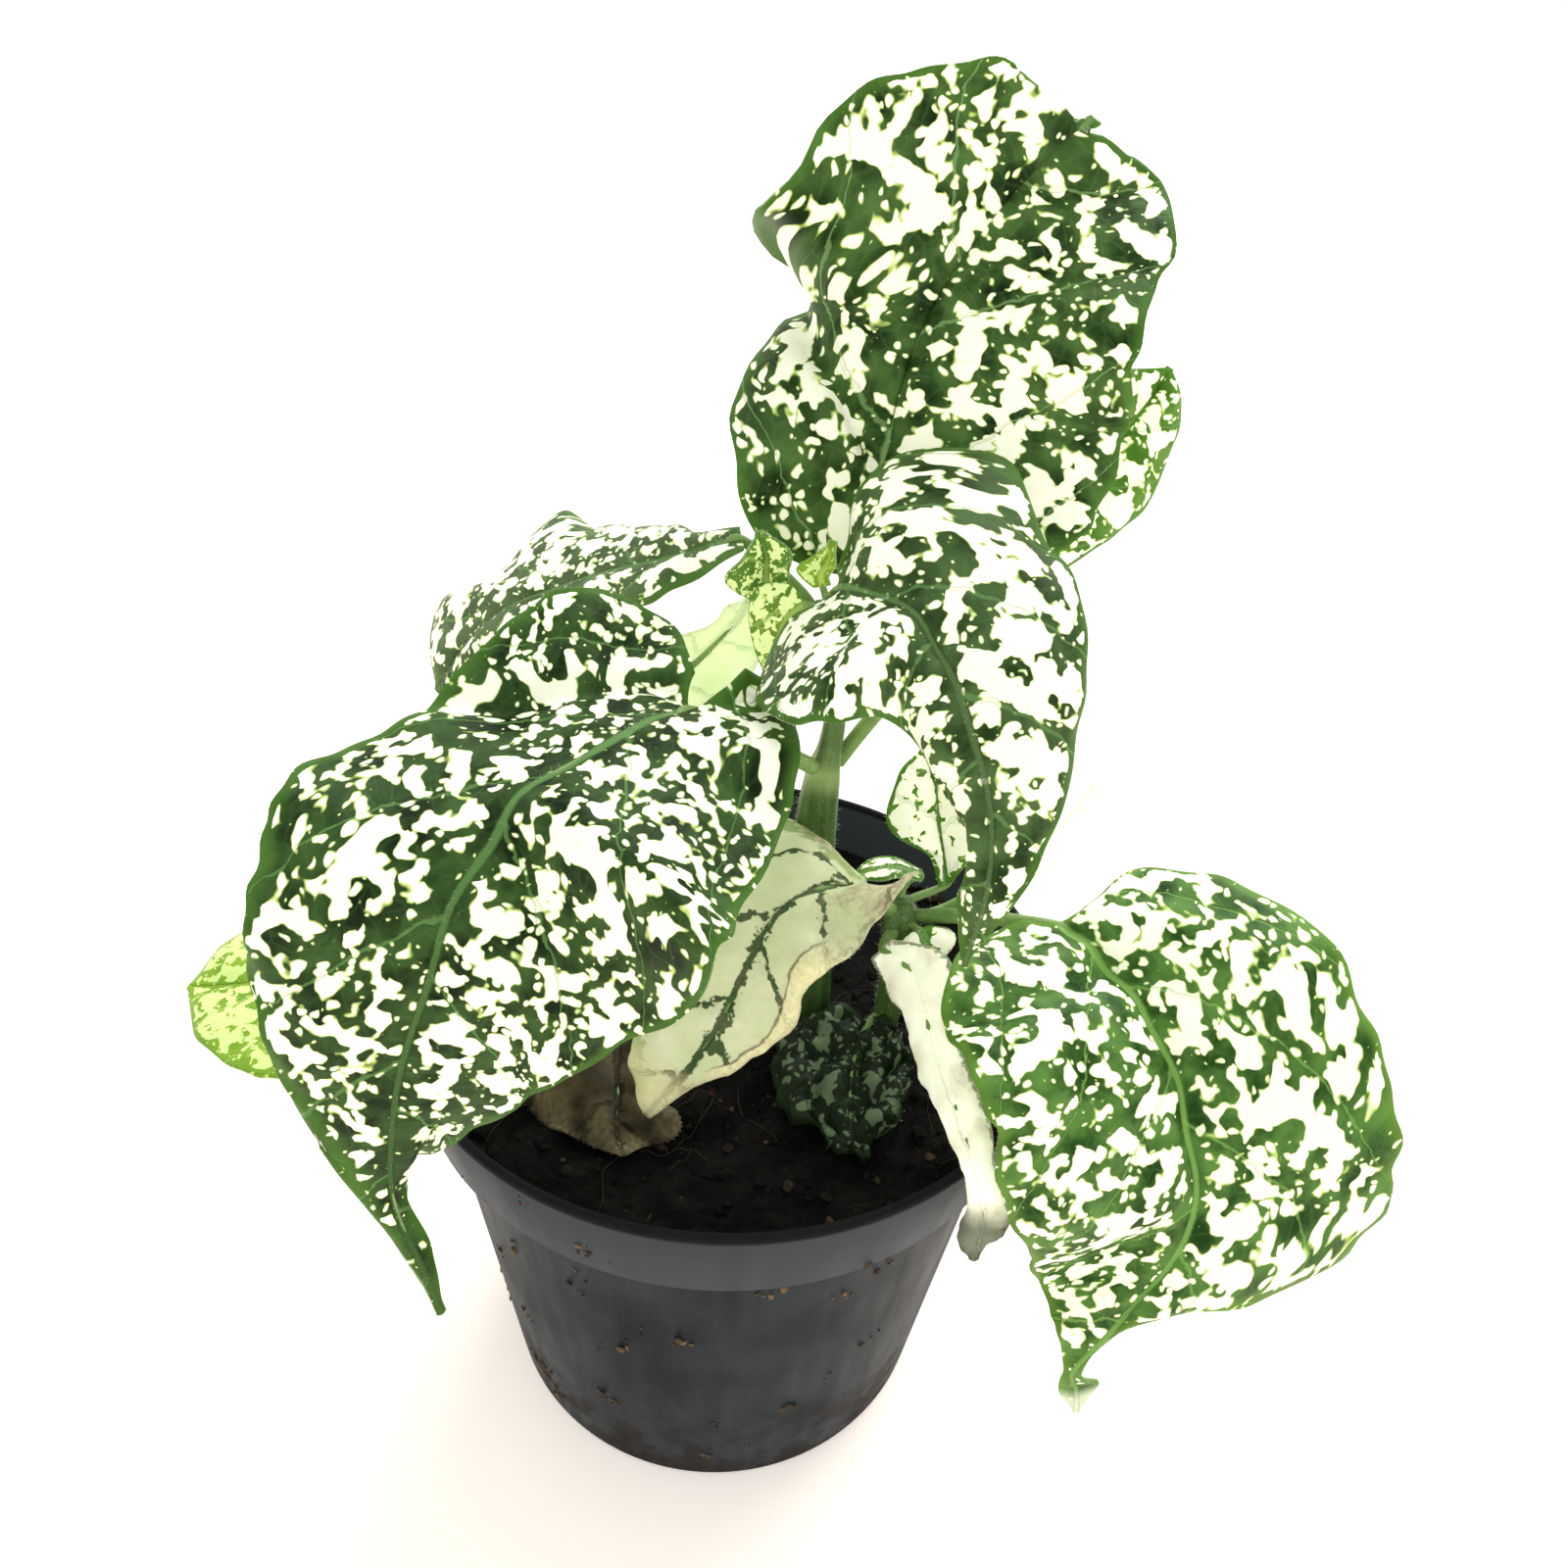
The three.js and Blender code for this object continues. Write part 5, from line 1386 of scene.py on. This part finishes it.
# %% Pot shape
POT_HEIGHT = 73
RIM_RADIUS = 45
BASE_RADIUS = 33.5
BAND_FOOT = 61
BAND_FOOT_RADIUS = 43.2
SHOULDER_RADIUS = 40.6
STEP_DROP = 0.8
EDGE_ROUND = 0.8
WALL = 1.2
FLOOR = 1.6
DRAIN_HOLES = 8
DRAIN_RADIUS = 2.6
DRAIN_CIRCLE = 25
POT_SECTION = [
    (BASE_RADIUS - EDGE_ROUND, 0),
    (BASE_RADIUS, EDGE_ROUND),
    (SHOULDER_RADIUS, BAND_FOOT - STEP_DROP),
    (BAND_FOOT_RADIUS, BAND_FOOT),
    (RIM_RADIUS, POT_HEIGHT - EDGE_ROUND / 2),
    (RIM_RADIUS - EDGE_ROUND / 2, POT_HEIGHT),
    (RIM_RADIUS - WALL, POT_HEIGHT),
    (BAND_FOOT_RADIUS - WALL, BAND_FOOT + STEP_DROP),
    (SHOULDER_RADIUS - WALL, BAND_FOOT - STEP_DROP),
    (BASE_RADIUS - WALL, FLOOR),
]
POT_SIDES = 144


def turned(name, section, sides):
    """A closed body of round section, extruded from a circle through each radius and height in mm."""
    radius, height = section[0]
    bpy.ops.object.select_all(action="DESELECT")
    bpy.ops.mesh.primitive_circle_add(
        vertices=sides, radius=radius * MM, fill_type="NGON", location=(0, 0, height * MM)
    )
    made = bpy.context.object
    made.name = name
    bpy.ops.object.transform_apply()
    bpy.ops.object.mode_set(mode="EDIT")
    bpy.ops.mesh.select_all(action="SELECT")
    for radius_next, height_next in section[1:]:
        rise = (0, 0, (height_next - height) * MM)
        bpy.ops.mesh.extrude_region_move(TRANSFORM_OT_translate={"value": rise})
        grow = radius_next / radius
        bpy.ops.transform.resize(value=(grow, grow, 1), center_override=(0, 0, height_next * MM))
        radius, height = radius_next, height_next
    bpy.ops.mesh.select_all(action="SELECT")
    bpy.ops.mesh.normals_make_consistent(inside=False)
    bpy.ops.object.mode_set(mode="OBJECT")
    return made


pot = turned("pot_fine", POT_SECTION, POT_SIDES)
drills = []
for i in range(DRAIN_HOLES):
    angle = i / DRAIN_HOLES * 2 * math.pi
    middle = Vector((math.cos(angle), math.sin(angle), 0)) * DRAIN_CIRCLE * MM
    depth = 4 * FLOOR * MM
    bpy.ops.mesh.primitive_cylinder_add(vertices=24, radius=DRAIN_RADIUS * MM, depth=depth, location=middle)
    drills.append(bpy.context.object)
join_onto(drills[0], drills[1:])
apply_modifier(pot, "BOOLEAN", operation="DIFFERENCE", object=drills[0], solver="EXACT")
bpy.data.objects.remove(drills[0])
apply_modifier(pot, "BEVEL", width=0.3 * MM, segments=2, limit_method="ANGLE", angle_limit=math.radians(20))
bpy.ops.object.select_all(action="DESELECT")
pot.select_set(True)
bpy.ops.object.shade_smooth_by_angle(angle=math.radians(35))
keep_piece(pot, "pot")
print("pot faces:", len(pot.data.polygons))

# %% [markdown]
# ## The pot's plastic
# The plastic is charcoal with a touch of blue and only half matt, so it mirrors its surroundings softly.
# Handling leaves it dull in places, with faint upright rubs, and watering has left brown smears of soil
# near the foot. The band under the rim is painted lighter, a painted reflection of the bright room, and the
# top edge of the rim is painted darker, a painted shadow line.

# %% Pot finish
pot_skin, tree, shader = new_material("pot_plastic")
where = put(tree, "ShaderNodeTexCoord").outputs["Object"]
where_mm = put(tree, "ShaderNodeVectorMath", {0: where, "Scale": 1000.0}, operation="SCALE").outputs[0]
height = put(tree, "ShaderNodeSeparateXYZ", {0: where_mm}).outputs["Z"]
upright = put(tree, "ShaderNodeMapping", {"Vector": where_mm, "Scale": (1, 1, 0.12)}).outputs[0]
rubs = use_group(tree, tone_group, {"Place": upright, "Size mm": 3.0, "Contrast": 0.6})["Tone"]
clouds = use_group(tree, tone_group, {"Place": where_mm, "Size mm": 14.0, "Contrast": 0.5})["Tone"]
pores = use_group(tree, tone_group, {"Place": where_mm, "Size mm": 0.4, "Contrast": 0.9})["Tone"]
smears = use_group(tree, tone_group, {"Place": where_mm, "Size mm": 5.0, "Contrast": 0.2})["Tone"]
plastic = mix(tree, clouds, colour(16, 20, 24), colour(42, 48, 52))
# Painted reflection: above the band's foot the plastic is painted lighter, for the room mirrored in it.
band = calc(tree, "MULTIPLY", step(tree, height, BAND_FOOT - 0.9, BAND_FOOT - 0.3), 0.6)
plastic = mix(tree, band, plastic, colour(76, 80, 84))
# Painted shadow: the top edge of the rim is painted darker, a painted shadow line along the lip.
plastic = mix(tree, step(tree, height, POT_HEIGHT - 1.2, POT_HEIGHT - 0.6), plastic, colour(30, 32, 32))
plastic = mix(tree, calc(tree, "MULTIPLY", rubs, 0.1), plastic, colour(52, 56, 61))
foot = calc(tree, "SUBTRACT", 1.0, step(tree, height, 2.0, 26.0))
soiled = calc(tree, "MULTIPLY", calc(tree, "MULTIPLY", foot, smears), 0.4)
plastic = mix(tree, soiled, plastic, colour(58, 46, 35))
tree.links.new(plastic, shader.inputs["Base Color"])
dull = calc(tree, "ADD", calc(tree, "MULTIPLY", rubs, 0.12), 0.36)
tree.links.new(calc(tree, "ADD", dull, calc(tree, "MULTIPLY", soiled, 0.5)), shader.inputs["Roughness"])
shader.inputs["Specular IOR Level"].default_value = 0.03
bump = put(tree, "ShaderNodeBump", {"Height": pores, "Strength": 0.3, "Distance": 0.03 * MM})
tree.links.new(bump.outputs["Normal"], shader.inputs["Normal"])
pot.data.materials.append(pot_skin)
print("pot finish:", pot_skin.name)

# %% [markdown]
# ## The soil
# Peat fills the pot to a little under the rim. Its body is a sheet laid over a section, from the middle
# of the floor up the wall and in over the top, where broad lumps and fine crumbs roughen it. Loose crumbs
# and pale root fibres lie on it, and some crumbs stick to the pot.

# %% Soil shape
SOIL_TOP = 64
SOIL_LUMP = 0.35
LUMP_PITCH = 0.5
SOIL_EDGE = 42.2
SOIL_SIDES = 180
SOIL_CLEAR = 0.4
SOIL_FOOT_INSET = 1.7
SOIL_WALL_INSET = 1.6
SOIL_RINGS = 90
SOIL_ROUGH = 1.0


def soil_height(x, y):
    """How high the soil's top is at a place, in millimetres."""
    broad = math.sin(LUMP_PITCH * x) * math.cos(LUMP_PITCH * y) + math.sin(LUMP_PITCH * (x - y))
    place = Vector((x, y, 0.0))
    clod = noise.fractal(place * 0.22, 0.8, 2.0, 5)
    crumb = noise.fractal(place * 0.9 + Vector((7, 3, 1)), 0.7, 2.1, 4)
    return SOIL_TOP + SOIL_LUMP * broad + SOIL_ROUGH * (0.8 * clod + 0.6 * crumb)


turns = np.linspace(0, 2 * math.pi, SOIL_SIDES + 1)
soil_section = [
    (0.0, FLOOR + SOIL_CLEAR),
    (BASE_RADIUS - SOIL_FOOT_INSET, FLOOR + SOIL_CLEAR),
    (SHOULDER_RADIUS - SOIL_WALL_INSET, BAND_FOOT - SOIL_CLEAR),
]
places = [[(radius * math.cos(a), radius * math.sin(a), z) for a in turns] for radius, z in soil_section]
for radius in np.linspace(SOIL_EDGE, 0, SOIL_RINGS):
    ring = []
    for a in turns:
        x, y = radius * math.cos(a), radius * math.sin(a)
        ring.append((x, y, soil_height(x, y)))
    places.append(ring)
soil, _, _ = sheet_from_grid("soil_fine", np.array(places) * MM)
close_sheet(soil)
keep_piece(soil, "soil")
print("soil faces:", len(soil.data.polygons))

# %% [markdown]
# ## Peat, crumbs and fibres
# Wet peat is almost black, with bits that range from dark brown to tan. A tone value on each loose bit
# gives it a shade of its own. A crumb starts as a small ball of few faces whose points are pulled about,
# and is copied many times at different sizes. A fibre is a very thin bent tube.

# %% Peat finish
peat, tree, shader = new_material("peat")
where = put(tree, "ShaderNodeTexCoord").outputs["Object"]
where_mm = put(tree, "ShaderNodeVectorMath", {0: where, "Scale": 1000.0}, operation="SCALE").outputs[0]
bits = put(tree, "ShaderNodeTexVoronoi", {"Vector": where_mm, "Scale": 1.1}, feature="F1")
lot = put(tree, "ShaderNodeSeparateXYZ", {0: bits.outputs["Color"]}).outputs["X"]
clouds = use_group(tree, tone_group, {"Place": where_mm, "Size mm": 6.0, "Contrast": 0.5})["Tone"]
own = put(tree, "ShaderNodeAttribute", attribute_name="tone").outputs["Fac"]
brown = mix(tree, clouds, colour(14, 16, 16), colour(31, 30, 28))
brown = mix(tree, calc(tree, "MULTIPLY", step(tree, lot, 0.8, 1.0), 0.3), brown, colour(46, 38, 30))
tree.links.new(mix(tree, own, brown, colour(128, 108, 82)), shader.inputs["Base Color"])
shader.inputs["Roughness"].default_value = 0.95
shader.inputs["Specular IOR Level"].default_value = 0.1
fine = use_group(tree, tone_group, {"Place": where_mm, "Size mm": 0.7, "Contrast": 0.9})["Tone"]
bump = put(tree, "ShaderNodeBump", {"Height": fine, "Strength": 0.9, "Distance": 0.3 * MM})
tree.links.new(bump.outputs["Normal"], shader.inputs["Normal"])
soil.data.materials.append(peat)
print("soil finish:", peat.name)

# %% Crumbs and fibres
CRUMBS_ON_SOIL = 900
CRUMBS_ON_POT = 260
CLUMPS_ON_POT = 46
FIBRES = 80
FIBRE_RADIUS = 0.06


def pot_radius(z):
    """Outer radius of the pot at a height, in millimetres."""
    return float(np.interp(z, [p[1] for p in POT_SECTION[1:5]], [p[0] for p in POT_SECTION[1:5]]))


def scattered(name, places, sizes, squash, tones, dice):
    """Copies one pulled-about ball to every place, each copy with its own size, turn and tone."""
    bpy.ops.mesh.primitive_ico_sphere_add(subdivisions=2, radius=1)
    ball = bpy.context.object
    corners = np.array([v.co for v in ball.data.vertices])
    faces = np.array([p.vertices[:] for p in ball.data.polygons])
    bpy.data.objects.remove(ball)
    count = len(places)
    pulled = corners[None] * dice.uniform(0.72, 1.2, (count, len(corners), 1))
    pulled = pulled * dice.uniform(0.6, 1.4, (count, 1, 3)) * sizes[:, None, None]
    axis = unit(dice.normal(0, 1, (count, 3)))
    pulled = pulled + 0.5 * np.cross(axis[:, None], pulled)
    pulled = pulled - squash[:, None] * (pulled * unit(squash)[:, None]).sum(axis=2, keepdims=True) * 0.4
    mesh = bpy.data.meshes.new(name)
    spread = (faces[None] + len(corners) * np.arange(count)[:, None, None]).reshape(-1, 3)
    mesh.from_pydata(((pulled + places[:, None]).reshape(-1, 3) * MM).tolist(), [], spread.tolist())
    mesh.attributes.new("tone", "FLOAT", "POINT").data.foreach_set("value", np.repeat(tones, len(corners)))
    made = bpy.data.objects.new(name, mesh)
    bpy.context.scene.collection.objects.link(made)
    mesh.materials.append(peat)
    keep_piece(made, None)
    print(name, "bits:", count, "faces:", len(mesh.polygons))
    return made


dice = np.random.default_rng(7)
around = dice.uniform(0, 2 * math.pi, CRUMBS_ON_SOIL)
out = SOIL_EDGE * np.sqrt(dice.uniform(0, 1, CRUMBS_ON_SOIL))
spots = np.stack([out * np.cos(around), out * np.sin(around)], axis=1)
tops = np.array([soil_height(x, y) for x, y in spots])
sizes = 0.2 + 0.75 * dice.uniform(0, 1, CRUMBS_ON_SOIL) ** 4
squash = np.tile([0.0, 0.0, 1.0], (CRUMBS_ON_SOIL, 1))
tones = 0.35 * dice.uniform(0, 1, CRUMBS_ON_SOIL) ** 6
scattered("crumbs_on_soil", np.column_stack([spots, tops + 0.15]), sizes, squash, tones, dice)

clump = dice.integers(0, CLUMPS_ON_POT, CRUMBS_ON_POT)
around = dice.normal(math.radians(238), 0.65, CLUMPS_ON_POT)[clump] + dice.normal(0, 0.025, CRUMBS_ON_POT)
heights = dice.uniform(2, 70, CLUMPS_ON_POT)[clump] + dice.normal(0, 0.9, CRUMBS_ON_POT)
heights = np.clip(heights, 1.5, 71)
walls = np.array([pot_radius(z) for z in heights])
outward = np.stack([np.cos(around), np.sin(around), 0 * around], axis=1)
sizes = 0.1 + 0.4 * dice.uniform(0, 1, CRUMBS_ON_POT) ** 3
places = outward * (walls + 0.02)[:, None] + np.outer(heights, (0, 0, 1))
tones = 0.1 + 0.8 * dice.uniform(0, 1, CRUMBS_ON_POT) ** 1.5
scattered("crumbs_on_pot", places, sizes, outward, tones, dice)

fibres = []
for i in range(FIBRES):
    angle, run = dice.uniform(0, 2 * math.pi), dice.uniform(3, 12)
    start = SOIL_EDGE * 0.93 * math.sqrt(dice.uniform())
    turn = dice.uniform(0, 2 * math.pi)
    spot = np.array([start * math.cos(angle), start * math.sin(angle)])
    path = []
    for k in range(6):
        x, y = spot
        if math.hypot(x, y) > SOIL_EDGE - 0.5:
            break
        path.append([x, y, soil_height(x, y) + 0.1 + 0.5 * math.sin(k * 1.3 + i) ** 2, FIBRE_RADIUS])
        turn += dice.normal(0, 0.5)
        spot = spot + run / 5 * np.array([math.cos(turn), math.sin(turn)])
    if len(path) > 2:
        fibres.append(tube(f"fibre_{i}", path, 10, 4))
join_onto(fibres[0], fibres[1:])
fibre = fibres[0]
fibre.name = "fibres_on_soil"
share = np.full(len(fibre.data.vertices), 0.24)
fibre.data.attributes.new("tone", "FLOAT", "POINT").data.foreach_set("value", share)
fibre.data.materials.append(peat)
keep_piece(fibre, None)
print("fibres:", len(fibres))

# %% [markdown]
# ## Floor and light
# The plant stands on a plain pale floor in a bright room, so bright that the floor shows as pure white,
# but for a warm shadow at the pot. Most light is soft and comes from all round. A wide window above and
# behind, on the right, is a broad sun: it gives the leaves their sheen and sends the pot's soft shadow to
# the front left.

# %% Floor and light
FLOOR_SIZE = 40
bpy.ops.object.select_all(action="DESELECT")
bpy.ops.mesh.primitive_plane_add(size=FLOOR_SIZE)
floor = bpy.context.object
floor.name = "floor"
floor_skin, tree, shader = new_material("floor_pale")
shader.inputs["Base Color"].default_value = colour(255, 242, 230)
shader.inputs["Emission Color"].default_value = (1, 0.98, 0.95, 1)
shader.inputs["Emission Strength"].default_value = 0.33
shader.inputs["Roughness"].default_value = 0.8
floor.data.materials.append(floor_skin)

world = bpy.data.worlds.new("bright_room")
bpy.context.scene.world = world
world.use_nodes = True
world.node_tree.nodes["Background"].inputs["Color"].default_value = (1, 1, 1, 1)
world.node_tree.nodes["Background"].inputs["Strength"].default_value = 1.0


view = bpy.context.scene.view_settings
view.view_transform = "Standard"


SUN_FROM = Vector((0.4, 0.75, 0.95))
bpy.ops.object.light_add(type="SUN", location=SUN_FROM)
sun = bpy.context.object
sun.name = "window_light"
sun.data.energy = 2.2
sun.data.angle = math.radians(45)
sun.rotation_euler = SUN_FROM.to_track_quat("Z", "Y").to_euler()
print("light and floor ready")
